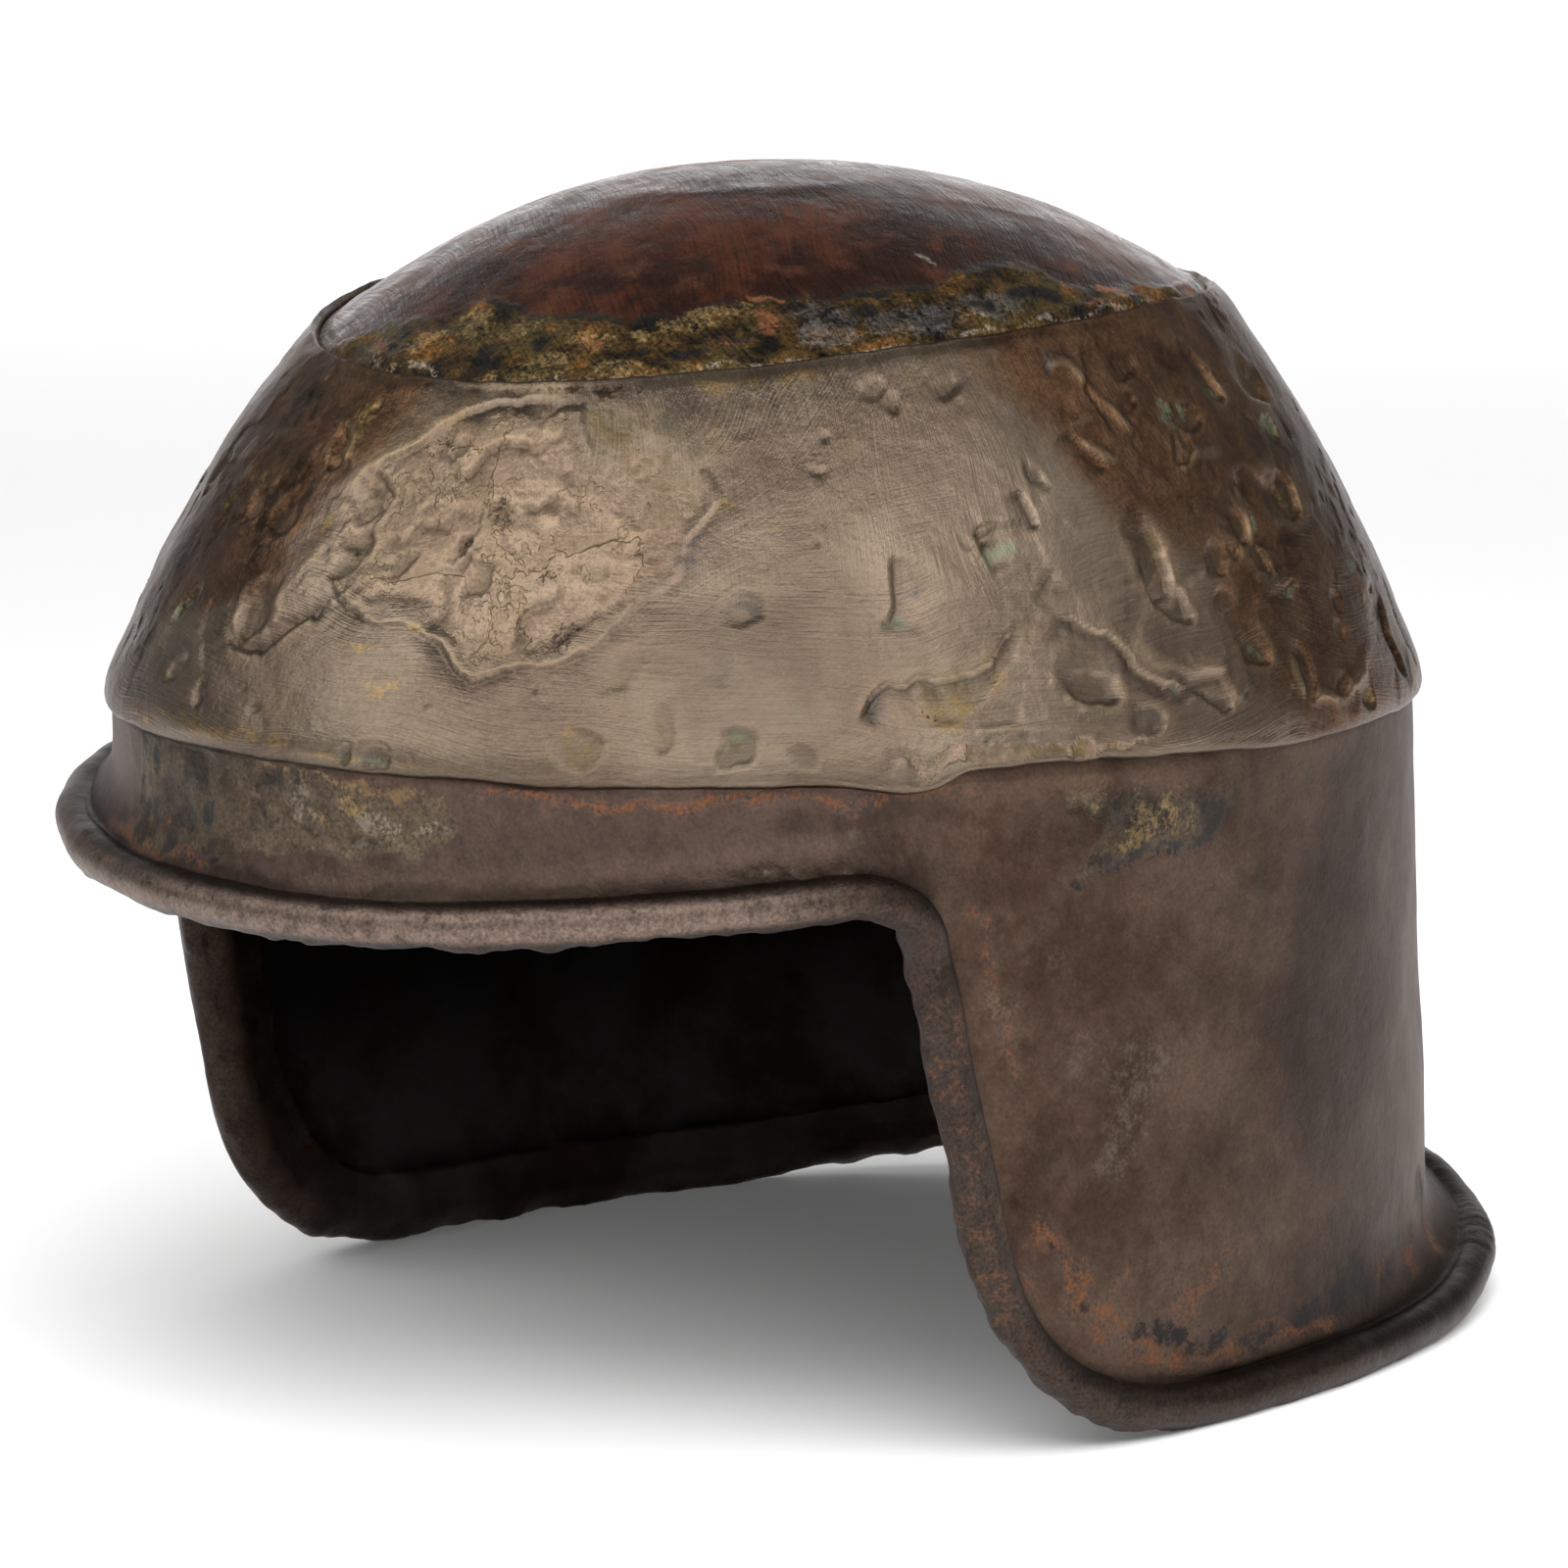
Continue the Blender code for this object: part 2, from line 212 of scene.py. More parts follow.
def cap_dome(angle, share):
    """Outer face of the cap: share 0 is its crown and share 1 its seam with the band."""
    seam = off_bed(angle, np.ones_like(angle), -SEAM_GAP)
    height = (SEAM_HEIGHT + (seam[..., 2] - SEAM_HEIGHT) * share ** 2
              + CAP_RISE * (1 - share ** CAP_POWER))
    return np.stack([seam[..., 0] * share, seam[..., 1] * share, height], axis=-1)


def cap_normal(angle, share):
    """Outward unit normal of the cap's dome."""
    return -surface_normal(cap_dome, angle, share)


def smooth_step(value, low=0.0, high=1.0):
    """0 at low and 1 at high, with level ends."""
    value = np.clip((value - low) / (high - low), 0, 1)
    return value * value * (3 - 2 * value)


def bend(start, corner, end, count):
    """Points after start on the curve that rounds a corner, count of them, up to end."""
    shares = np.linspace(0, 1, count + 1)[1:, None]
    return start * (1 - shares) ** 2 + 2 * corner * shares * (1 - shares) + end * shares ** 2


def straight(start, end, count):
    """Points after start on a straight run, count of them, up to end."""
    return start + (end - start) * np.linspace(0, 1, count + 1)[1:, None]


def brow_edge_height(angle, temple):
    """Height of the rolled edge's middle along the brow."""
    return BROW_HEIGHT + BROW_SIDE_RISE * (np.sin(angle) / math.sin(temple)) ** 2


def edge_route(stations):
    """Middle of the rolled edge on one side: reach, height, stand-off and angle at the band."""
    brow_count, temple_count, flap_count, foot_count, rest_count, neck_count = stations
    temple = TEMPLE_REACH / MEAN_RADIUS
    brow_end = (TEMPLE_REACH - TEMPLE_CORNER) / MEAN_RADIUS
    angles = np.linspace(0, brow_end, brow_count)
    brow = np.stack([angles * MEAN_RADIUS, brow_edge_height(angles, temple)], axis=-1)

    temple_point = np.array([TEMPLE_REACH, brow_edge_height(temple, temple)])
    foot_point = np.array([FLAP_FOOT_REACH, ROLL_HEIGHT])
    slope = unit(foot_point - temple_point)
    flap_start = temple_point + slope * TEMPLE_CORNER
    flap_end = foot_point - slope * FLAP_CORNER
    side_start = foot_point + np.array([FLAP_CORNER, 0])
    back_reach = math.pi * MEAN_RADIUS
    rest_end = side_start[0] + REST_LENGTH
    back = np.linspace(rest_end, back_reach, neck_count + 1)[1:]
    rise = NECK_RISE * smooth_step((back - rest_end) / (back_reach - rest_end))

    runs = [brow, bend(brow[-1], temple_point, flap_start, temple_count),
            straight(flap_start, flap_end, flap_count),
            bend(flap_end, foot_point, side_start, foot_count),
            straight(side_start, side_start + np.array([REST_LENGTH, 0]), rest_count),
            np.stack([back, ROLL_HEIGHT + rise], axis=-1)]
    reach, height = np.concatenate(runs).T
    first_flap = brow_count - 1
    last_foot = first_flap + temple_count + flap_count + foot_count

    into_flap = smooth_step((temple_point[1] - height) / TEMPLE_CORNER)
    stand_off = BROW_STAND_OFF + (FLAP_STAND_OFF - BROW_STAND_OFF) * into_flap
    into_neck = smooth_step((reach - side_start[0]) / (back_reach - side_start[0]) * 1.5)
    stand_off = stand_off + (NECK_STAND_OFF - FLAP_STAND_OFF) * into_neck

    top_angle = reach / MEAN_RADIUS
    between = np.arange(first_flap, last_foot + 1)
    path = np.concatenate([[0], np.cumsum(np.hypot(np.diff(reach), np.diff(height)))])
    progress = (path[between] - path[first_flap]) / (path[last_foot] - path[first_flap])
    progress = progress * SHEET_FAN / (1 + (SHEET_FAN - 1) * progress)
    first, last = top_angle[first_flap], top_angle[last_foot]
    top_angle[between] = first + progress * (last - first)
    return reach, height, stand_off, top_angle


def flare(stand_off, depth):
    """How far the sheet has turned out of the wall, at a depth from the rolled edge's middle."""
    crease_depth = ROLL_RADIUS * CREASE_REACH
    crease_out = stand_off - ROLL_RADIUS * CREASE_DEPTH
    left = np.clip((FLARE_WIDTH - depth) / (FLARE_WIDTH - crease_depth), 0, 1)
    return crease_out * left ** FLARE_POWER


# Random relief

LATTICE_SIDE = 32
LATTICE = np.random.default_rng(7).uniform(-1, 1, (LATTICE_SIDE,) * 3)


def noise(points, size, seed=0):
    """Smooth random values, -1 to 1, whose bumps are about the given size."""
    place = points / size + seed * 5.37 + 100
    cell = np.floor(place).astype(int)
    part = place - cell
    part = part ** 3 * (part * (part * 6 - 15) + 10)
    total = np.zeros(points.shape[:-1])
    for corner in itertools.product((0, 1), repeat=3):
        weight = np.ones(points.shape[:-1])
        for axis, side in enumerate(corner):
            weight = weight * (part[..., axis] if side else 1 - part[..., axis])
        spot = (cell + corner) % LATTICE_SIDE
        total += weight * LATTICE[spot[..., 0], spot[..., 1], spot[..., 2]]
    return total


def rough(points, size, seed=0, octaves=4):
    """Random values with finer and finer bumps on them."""
    return sum(noise(points, size / 2 ** k, seed + k) * 0.5 ** k for k in range(octaves))


def islands(points, size, seed, low, high, octaves=4):
    """Patches with ragged outlines: 0 between them and 1 on them."""
    return smooth_step(rough(points, size, seed, octaves), low, high)


def ends_of(along, fade):
    """1 along a line and 0 at its two ends."""
    return smooth_step(np.minimum(along, 1 - along), 0.0, fade)


# Marks on the plates. A mark's place is turn and share (or height).
# Its half width and half height are in mm, and its lean is in degrees.

Dent = namedtuple("Dent", "turn share half_width half_height lean depth rim")
Fold = namedtuple("Fold", "points drop fade side dark")
Ridge = namedtuple("Ridge", "points rise width")
Stain = namedtuple("Stain", "turn share half_width half_height lean strength")
Streak = namedtuple("Streak", "points width strength")


def tone_marks(*rows):
    """Stains from rows of their six numbers, and streaks from rows that start with their points."""
    return [Stain(*row) if len(row) == len(Stain._fields) else Streak(*row) for row in rows]


class Ground:
    """Where the points of a plate's outer face lie, in degrees, shares and millimetres."""

    def __init__(self, turn, share, span, points):
        self.turn = turn
        self.share = share
        self.span = span
        self.points = points
        radius = np.hypot(points[..., 0], points[..., 1])
        self.degree = np.maximum(radius, 5) * math.radians(1)
        self.shift = (rough(points, 8.0, 3, 5) * 1.5, rough(points, 8.0, 11, 5) * 1.5)
        self.broken = 0.45 + 0.55 * smooth_step(noise(points, 15, 77), -0.35, 0.25)

    def offset(self, turn, share, wander=1.0):
        """Distances in mm from a place, across and up, with a wandering outline."""
        across = (self.turn - turn + 180) % 360 - 180
        return (across * self.degree + self.shift[0] * wander,
                (self.share - share) * self.span + self.shift[1] * wander)

    def leaning(self, mark, wander=1.0):
        """Distance from a mark's middle along and across its lean, as shares of its halves."""
        across, up = self.offset(mark.turn, mark.share, wander)
        lean = math.radians(mark.lean)
        along = across * math.cos(lean) + up * math.sin(lean)
        cross = up * math.cos(lean) - across * math.sin(lean)
        return along / mark.half_width, cross / mark.half_height

    def dent(self, mark):
        """How much of a dent's depth there is: one side is steep, and a low lip goes round it."""
        along, cross = self.leaning(mark)
        middle = np.hypot(along, cross)
        steep = smooth_step(0.5 * along - cross, -0.9, 0.9)
        rim = mark.rim * (1.5 - 1.15 * steep)
        tilt = np.clip(0.85 + 0.35 * along - 0.25 * cross, 0, 1)
        lip = 0.07 * np.exp(-((middle - 1.2) / 0.16) ** 2)
        return (1 - smooth_step(middle, 1 - rim, 1 + rim * 0.3)) * tilt - lip

    def line(self, points, wander=1.0):
        """Distance in mm to a line of places, positive on its left, and how far along it is."""
        best = np.full(self.turn.shape, 1e9)
        side = np.zeros(self.turn.shape)
        along = np.zeros(self.turn.shape)
        pairs = list(zip(points, points[1:]))
        for place, ((turn, share), (next_turn, next_share)) in enumerate(pairs):
            across, up = self.offset(turn, share, wander)
            run = (next_turn - turn) * self.degree
            climb = (next_share - share) * self.span
            length = np.maximum(run * run + climb * climb, 1e-6)
            part = np.clip((across * run + up * climb) / length, 0, 1)
            gap = np.hypot(across - run * part, up - climb * part)
            nearer = gap < best
            best = np.where(nearer, gap, best)
            side = np.where(nearer, np.sign(run * up - climb * across), side)
            along = np.where(nearer, (place + part) / len(pairs), along)
        return best * side, along

    def fold(self, mark):
        """Depth below a fold, which fades out away from it, and the painted shadow line at its
        foot.
        """
        gap, along = self.line(mark.points, 0.7)
        ends = ends_of(along, 0.2) * self.broken
        below = smooth_step(gap * mark.side, -0.2, 0.35)
        depth = 1.25 * mark.drop * ends * below * np.exp(-np.abs(gap) / mark.fade)
        foot = gap * mark.side - 0.25
        return depth, mark.dark * ends * np.exp(-(foot / 0.4) ** 2)

    def ridge(self, mark):
        """Share of a ridge's rise there is."""
        gap, along = self.line(mark.points, 0.7)
        return ends_of(along, 0.25) * np.exp(-(gap / mark.width) ** 2)

    def stains(self, marks, wander=1.6):
        """How strongly a tone shows, from ovals with wandering outlines and from streaks."""
        total = np.zeros(self.turn.shape)
        for mark in marks:
            if isinstance(mark, Streak):
                gap, along = self.line(mark.points, wander)
                shown = ends_of(along, 0.12) * np.exp(-(gap / mark.width) ** 2)
            else:
                shown = 1 - smooth_step(np.hypot(*self.leaning(mark, wander)), 0.3, 1.3)
            total = np.maximum(total, mark.strength * shown)
        return total

    def area(self, corners, wander=1.0):
        """Signed distance in mm from an outline of places, positive inside it."""
        gap = np.abs(self.line(corners + corners[:1], wander)[0])
        turn = self.turn + self.shift[0] * wander / self.degree
        share = self.share + self.shift[1] * wander / self.span
        inside = np.zeros(self.turn.shape, bool)
        for (turn_a, share_a), (turn_b, share_b) in zip(corners, corners[1:] + corners[:1]):
            crosses = (share_a > share) != (share_b > share)
            rise = share_b - share_a if share_b != share_a else 1e-9
            inside ^= crosses & (turn < turn_a + (share - share_a) * (turn_b - turn_a) / rise)
        return np.where(inside, gap, -gap)


def above_mean(relief):
    """How far each point stands above the mean of those near it, in mm."""
    mean = relief
    for _ in range(2):
        for axis, reach in ((1, 5), (0, 4)):
            steps = range(-reach, reach + 1)
            mean = sum(np.roll(mean, step, axis) for step in steps) / len(steps)
    return relief - mean


# How much of their depths the dents have, and the band's dents
DENT_DEPTH = 0.8
BAND_DENTS = [Dent(*row) for row in (
    (63.5, 0.905, 2.4, 1.6, 10, 0.4, 0.6), (65.3, 0.87, 1.4, 2.6, 20, 0.45, 0.6),
    (71.5, 0.88, 2.2, 1.7, -20, 0.45, 0.7), (79, 0.69, 1.5, 2.4, 10, 0.6, 0.6),
    (48, 0.42, 3.2, 3.6, 40, 0.5, 0.3), (46.5, 0.31, 2.2, 3.6, 0, 0.3, 0.7),
    (47, 0.1, 3.2, 4.8, -25, 0.6, 0.25), (53, 0.07, 3, 2, 0, 0.4, 0.4),
    (80.5, 0.21, 6, 4, -35, 1.5, 0.6), (96, 0.87, 2.6, 2.4, 0, 0.6, 0.7),
    (94.5, 0.79, 1.8, 1.8, 0, 0.6, 0.6), (108.5, 0.84, 2.4, 5.2, 10, 1.2, 0.45),
    (102, 0.74, 4.5, 2.4, 5, 0.9, 0.5), (98.5, 0.69, 2.2, 4.2, -25, 0.9, 0.5),
    (119.5, 0.8, 6, 4.2, -20, 1.5, 0.7), (113.5, 0.72, 2, 1.6, -30, 0.6, 0.6),
    (116.5, 0.67, 2.6, 2.4, 0, 0.7, 0.6), (112, 0.54, 5.8, 5, 20, 1.2, 0.25),
    (101.5, 0.51, 2.4, 5, 5, 1.3, 0.6), (103, 0.43, 2.2, 3.6, 25, 0.9, 0.5),
    (89.8, 0.46, 2.8, 8, 4, 1.9, 0.55), (90.8, 0.36, 2.6, 4.4, 14, 1.3, 0.55),
    (98, 0.43, 4, 2.6, 40, 0.9, 0.5), (105.5, 0.34, 5, 1.6, 15, 0.7, 0.5),
    (97, 0.34, 3, 2.2, 0, 0.7, 0.6), (98, 0.23, 3.4, 3.6, -30, 1.2, 0.55),
    (114, 0.28, 2, 2.4, 0, 0.8, 0.6), (112.5, 0.22, 2.2, 2, 0, 0.7, 0.6),
    (109, 0.12, 1.8, 1.8, 0, 0.7, 0.6), (112.5, 0.06, 2.4, 2.4, 0, 1, 0.5),
    (92, 0.15, 5.4, 2.4, -35, 1.1, 0.4), (104.5, 0.15, 2.4, 4.4, 15, 0.9, 0.5),
    (84.5, 0.1, 3.4, 3, 30, 0.8, 0.5), (3, 0.68, 4, 4, 0, 0.7, 0.5),
    (4.5, 0.55, 3.2, 5.6, -15, 1, 0.5), (20.5, 0.49, 3.2, 3.2, 0, 0.8, 0.4),
    (10.5, 0.53, 4.2, 2, 40, 0.7, 0.5), (17, 0.57, 3, 2, 20, 0.8, 0.4),
    (25.5, 0.7, 6, 2.8, -10, 0.5, 0.6), (12, 0.82, 3.4, 2.4, 30, 0.6, 0.5),
    (33, 0.09, 5.2, 3.4, 10, 0.45, 0.2), (40.5, 0.15, 2.6, 5.6, -12, 0.4, 0.25),
    (37, 0.28, 5.8, 3, 30, 0.35, 0.6), (11.5, 0.05, 2, 2.2, 20, 0.9, 0.4),
    (14, 0.05, 2.6, 2.2, 30, 0.9, 0.4), (-5, 0.36, 5, 4.4, 10, 1, 0.5),
    (-13.5, 0.18, 3.6, 3, 20, 0.8, 0.5), (-14, 0.6, 4.6, 3.2, 50, 1, 0.5),
    (-17.5, 0.34, 1.8, 4.4, -20, 0.9, 0.5), (-29.5, 0.66, 4, 3, 40, 1, 0.6),
    (-7, 0.62, 4, 5, -10, 0.8, 0.6), (-4.5, 0.8, 2.4, 4.6, 15, 1, 0.5),
    (-8, 0.12, 1.4, 3.4, 15, 0.6, 0.5), (70, 0.16, 5, 2.6, 10, 0.3, 0.4),
)]

# Steps in the band: the line they follow, their drop in mm, how far it fades out, on which side
# the sheet is lower, and how dark the painted shadow line at their foot is
BAND_FOLDS = [
    Fold([(77.5, 0.64), (78.5, 0.56)], 0.7, 2.5, -1, 0.5),
    Fold([(71.5, 0.57), (72, 0.52), (73, 0.46)], 1.3, 3.2, 1, 0.7),
    Fold([(63.7, 0.55), (62.4, 0.48), (62.3, 0.42), (61.2, 0.36)], 0.6, 5, 1, 0.4),
    Fold([(74.5, 0.38), (73, 0.34), (71, 0.27), (69, 0.24), (65, 0.26), (63, 0.24), (61.5, 0.24),
          (59, 0.19), (57.5, 0.155)], 1.4, 4.5, 1, 0.6),
    Fold([(75, 0.36), (73, 0.28), (70.5, 0.22), (68, 0.16), (64, 0.13)], 0.7, 3, -1, 0.2),
    Fold([(75.5, 0.39), (78.5, 0.46)], 1, 3, -1, 0.7),
    Fold([(75.5, 0.36), (80, 0.35), (82, 0.31), (84, 0.28), (85.5, 0.23), (87.5, 0.19),
          (89.5, 0.16), (93, 0.13)], 0.9, 3.5, -1, 0.5),
    Fold([(91, 0.95), (91, 0.89), (89.5, 0.84), (90, 0.79), (91, 0.71)], 0.9, 4, 1, 0.3),
    Fold([(85, 0.77), (88.5, 0.67)], 0.8, 3, -1, 0.3),
    Fold([(91.5, 0.38), (94, 0.4), (97.5, 0.45)], 0.8, 2.5, 1, 0.3),
    Fold([(104.5, 0.62), (104, 0.5), (103.5, 0.44)], 1.2, 3.5, 1, 0.3),
    Fold([(104.5, 0.62), (108.5, 0.6), (112.5, 0.57), (113, 0.5)], 0.8, 3.5, -1, 0.3),
    Fold([(126, 0.26), (124.5, 0.16), (124.5, 0.04)], 1.6, 3, -1, 0.3),
    Fold([(131, 0.3), (129, 0.18), (129.5, 0.05)], 1.4, 3, 1, 0.3),
    Fold([(11, 0.84), (14, 0.77), (15.5, 0.79), (16.5, 0.82), (20.5, 0.85), (23, 0.86)], 0.9, 4,
          -1, 0.7),
    Fold([(23, 0.86), (23.5, 0.9), (25, 0.93), (27, 0.93), (29, 0.89), (30, 0.84), (31, 0.79)],
          0.7, 4, 1, 0.5),
    Fold([(7.5, 0.61), (10.5, 0.6), (11, 0.65), (13.5, 0.64), (15, 0.67)], 0.7, 3.5, -1, 0.5),
    Fold([(1, 0.74), (3.5, 0.74), (5.5, 0.7), (6, 0.66), (5.5, 0.61), (7, 0.58), (6.5, 0.51)],
          0.8, 3.5, -1, 0.5),
    Fold([(-0.5, 0.59), (2.5, 0.51), (5, 0.44), (6.5, 0.41), (10, 0.37), (13, 0.37), (15.5, 0.36),
          (18, 0.34), (20, 0.29), (22, 0.25), (24, 0.27), (26.5, 0.3), (29, 0.29), (31, 0.31),
          (33.5, 0.32), (35.5, 0.39), (37, 0.44), (40, 0.48), (41.5, 0.51)], 0.9, 5, -1, 0.6),
    Fold([(40, 0.48), (41.5, 0.51), (42, 0.59), (43.5, 0.63), (45.5, 0.69), (44, 0.75),
          (42, 0.79)], 0.3, 4, -1, 0.3),
    Fold([(15.5, 0.53), (17, 0.46), (17.5, 0.41), (15.5, 0.39)], 0.7, 4, 1, 0.4),
    Fold([(25, 0.33), (26, 0.41), (27, 0.45), (28.5, 0.46), (29, 0.51)], 0.9, 4.5, -1, 0.5),
    Fold([(20, 0.7), (22.5, 0.69), (25.5, 0.68), (27, 0.71), (29.5, 0.69), (30.5, 0.73)], 0.6,
          3.5, -1, 0.5),
    Fold([(16, 0.56), (18, 0.54), (18.5, 0.56), (17, 0.59)], 0.6, 2, -1, 0.5),
    Fold([(-9, 0.31), (-5.5, 0.26), (-2, 0.26), (-0.5, 0.29), (0.5, 0.33), (2.5, 0.38),
          (3.5, 0.35)], 0.9, 4, 1, 0.4),
    Fold([(0, 0.74), (2.5, 0.76), (6, 0.81), (9.5, 0.89), (12.5, 0.93), (17.5, 0.94),
          (21.5, 0.96), (25.5, 0.94)], 0.55, 5, -1, 0.5),
    Fold([(-4.5, 0.87), (-4, 0.79), (0, 0.74)], 0.9, 3, -1, 0.4),
]

# Narrow raised lines on the band
BAND_RIDGES = [
    Ridge([(83.5, 0.94), (88, 0.9), (90.5, 0.84), (92.5, 0.76), (94, 0.7)], 0.7, 0.8),
    Ridge([(84, 0.74), (87, 0.72), (90.5, 0.66)], 0.6, 0.9),
    Ridge([(97, 0.62), (98.5, 0.67), (101.5, 0.66), (105, 0.66)], 0.8, 0.9),
    Ridge([(98.5, 0.67), (98.8, 0.74)], 0.6, 0.9),
    Ridge([(85.5, 0.32), (87.5, 0.24), (90, 0.22), (93, 0.2), (93.5, 0.17)], 0.8, 1.2),
    Ridge([(89, 0.13), (92.5, 0.15), (96.5, 0.11)], 0.7, 0.9),
    Ridge([(103, 0.2), (102.5, 0.14), (104.5, 0.1), (109, 0.09), (113, 0.12), (118, 0.18)], 0.9,
           1),
    Ridge([(76, 0.25), (77, 0.2), (80, 0.15), (84, 0.13)], 0.4, 1),
    Ridge([(63.5, 0.12), (68, 0.13), (74, 0.115), (80, 0.09), (86, 0.06)], 0.4, 0.8),
]

# The wide corroded patch on the front of the band, and the strip along its lower edge
FRONT_PATCH = [
    (-0.5, 0.59), (2.5, 0.51), (5, 0.44), (6.5, 0.41), (10, 0.37), (15.5, 0.36), (18, 0.34),
    (20, 0.29), (22, 0.25), (26.5, 0.3), (31, 0.31), (35.5, 0.39), (41.5, 0.51), (43.5, 0.63),
    (45.5, 0.69), (42, 0.79), (36, 0.84), (31, 0.82), (28, 0.93), (21.5, 0.96), (12.5, 0.93),
    (6, 0.81), (0, 0.74),
]
EDGE_PATCH = [
    (60, 0.01), (65, 0.07), (68, 0.12), (74, 0.11), (79.5, 0.08), (84.5, 0.05), (84, 0.01),
    (73.5, 0.01),
]

# Where the band shows other tones, lies in a broad shade or is pitted
BAND_STAINS = {
    "gold": tone_marks(
        (-3, 0.83, 2, 7, 5, 0.9), (-16, 0.66, 3, 5, -30, 0.7), (-20, 0.6, 4, 12, -25, 0.5),
        (0.5, 0.58, 1.6, 7, -15, 0.7), (8.5, 0.31, 6, 1.6, 5, 0.8), (15, 0.355, 6, 0.8, -5, 0.8),
        (13, 0.23, 5, 2.4, 0, 0.6), (46.5, 0.69, 2, 3.5, 20, 0.7), (51.5, 0.6, 4, 1.6, 10, 0.4),
        (56, 0.96, 8, 1.2, 3, 0.7), (46, 0.96, 10, 1.4, 3, 0.8), (66.5, 0.18, 5, 4.4, -10, 1),
        (71.5, 0.27, 2, 6, -35, 0.8), (79, 0.04, 8, 1.8, -5, 0.7),
        (112.8, 0.06, 1.6, 1.6, 0, 0.9), (51.5, 0.08, 3.4, 1.8, 0, 0.6),
        (74.5, 0.92, 9, 1.6, 0, 0.4), (33, 0.1, 4, 2.6, 0, 0.5),
        ([(-24, 0.04), (-10, 0.03), (2, 0.03), (22, 0.03)], 1.1, 0.9)),
    "olive": tone_marks(
        (34, 0.86, 11, 8, -30, 0.75), (39, 0.74, 8, 9, 0, 0.6), (24, 0.86, 7, 4, 10, 0.5),
        (12.5, 0.47, 7, 6, 20, 0.4), (26, 0.68, 9, 4, -10, 0.35), (34, 0.52, 6, 10, 20, 0.3),
        (37, 0.28, 8, 4, 30, 0.4), (33, 0.08, 5, 3, 10, 0.8), (40.5, 0.15, 3, 6, -10, 0.6),
        (47, 0.12, 3.4, 5, -25, 0.8), (53, 0.3, 8, 10, 0, 0.35), (74, 0.31, 3, 9, -35, 0.4),
        (67, 0.2, 7, 6, -10, 0.8), (76, 0.05, 12, 3.2, -3, 0.9), (90.5, 0.46, 3.4, 8, 8, 0.7),
        (80.5, 0.21, 5.6, 3.8, -35, 0.5), (112, 0.54, 6, 5.4, 20, 0.6),
        (119.5, 0.8, 7, 4.6, -20, 0.7), (101.5, 0.5, 2.6, 5.4, 5, 0.6), (-5, 0.34, 6, 6, 10, 0.5),
        (-20, 0.3, 6, 10, 0, 0.6)),
    "green": tone_marks(
        (73.2, 0.51, 1.8, 3, -60, 1), (62.3, 0.385, 1.2, 2.4, 20, 0.8),
        (99.5, 0.73, 1.8, 2.6, 0, 0.9), (102.5, 0.745, 1.6, 1.6, 0, 0.9),
        (117, 0.67, 2, 1.8, 0, 1), (108.5, 0.82, 1.8, 3.4, 10, 0.8), (118, 0.77, 3, 2, -20, 0.7),
        (107, 0.34, 4.6, 1.4, 20, 1), (98, 0.22, 1.8, 1.6, 0, 0.8),
        (88.5, 0.16, 1.6, 1.6, 0, 0.7), (119.5, 0.34, 2, 2.6, -30, 0.8),
        (-17.5, 0.34, 1.2, 4, -20, 0.8), (-5, 0.4, 3, 1.4, 10, 0.7),
        (11.5, 0.04, 1.4, 1.8, 20, 1), (14, 0.04, 2.2, 1.6, 30, 1), (47.5, 0.13, 2, 3, -25, 0.9),
        (52, 0.19, 1.6, 2, 0, 0.6),
        ([(104.6, 0.62), (104, 0.5), (103.5, 0.44)], 0.7, 0.9),
        ([(118.5, 0.2), (119.5, 0.15), (118, 0.1)], 0.7, 0.8)),
    "dark": tone_marks(
        (-10.5, 0.64, 8, 13, 10, 0.9), (-17.5, 0.86, 9, 6, 0, 0.8), (-6, 0.49, 7, 6, 0, 0.7),
        (-26, 0.45, 5, 12, 0, 0.7), (42, 0.77, 2.4, 2, 0, 0.6), (4.5, 0.56, 3, 5, -15, 0.5),
        (108, 0.4, 8, 12, 0, 0.5), (103, 0.9, 9, 5, 0, 0.5),
        ([(0, 0.965), (12, 0.975), (24, 0.985), (38, 0.975)], 1.2, 0.9)),
    "ash": tone_marks(
        (43, 0.56, 2.6, 5, -25, 0.8), (48.5, 0.41, 2.4, 2.8, 40, 0.9),
        (64, 0.46, 2.6, 1.6, 0, 0.6), (60.5, 0.19, 4, 5, -40, 0.9), (72, 0.1, 8, 4, 0, 0.6),
        (78, 0.39, 1.6, 1.2, 0, 0.7), (85, 0.1, 2.8, 3.2, 30, 0.6), (36, 0.88, 6, 3, -30, 0.5),
        (86, 0.92, 3, 3, 0, 0.6)),
    "shade": tone_marks(
        (49.5, 0.26, 21, 23, 0, 1), (54, 0.5, 12, 9, 20, 0.5), (-28, 0.3, 18, 34, 0, 0.85),
        (131, 0.4, 18, 44, 0, 0.75)),
    "pits": tone_marks(
        (20, 0.66, 2, 4, 0, 1), (21.5, 0.62, 3, 2.4, 0, 0.9), (27.5, 0.53, 3, 4.4, 0, 0.9),
        (31, 0.37, 4, 4, 0, 1), (11.5, 0.82, 2.4, 2.4, 0, 0.9), (17.5, 0.57, 3, 2, 0, 0.8),
        (108, 0.83, 2, 4, 0, 0.8), (80.5, 0.2, 3, 2.4, 0, 0.5), (66, 0.18, 4, 3.4, 0, 0.7)),
}

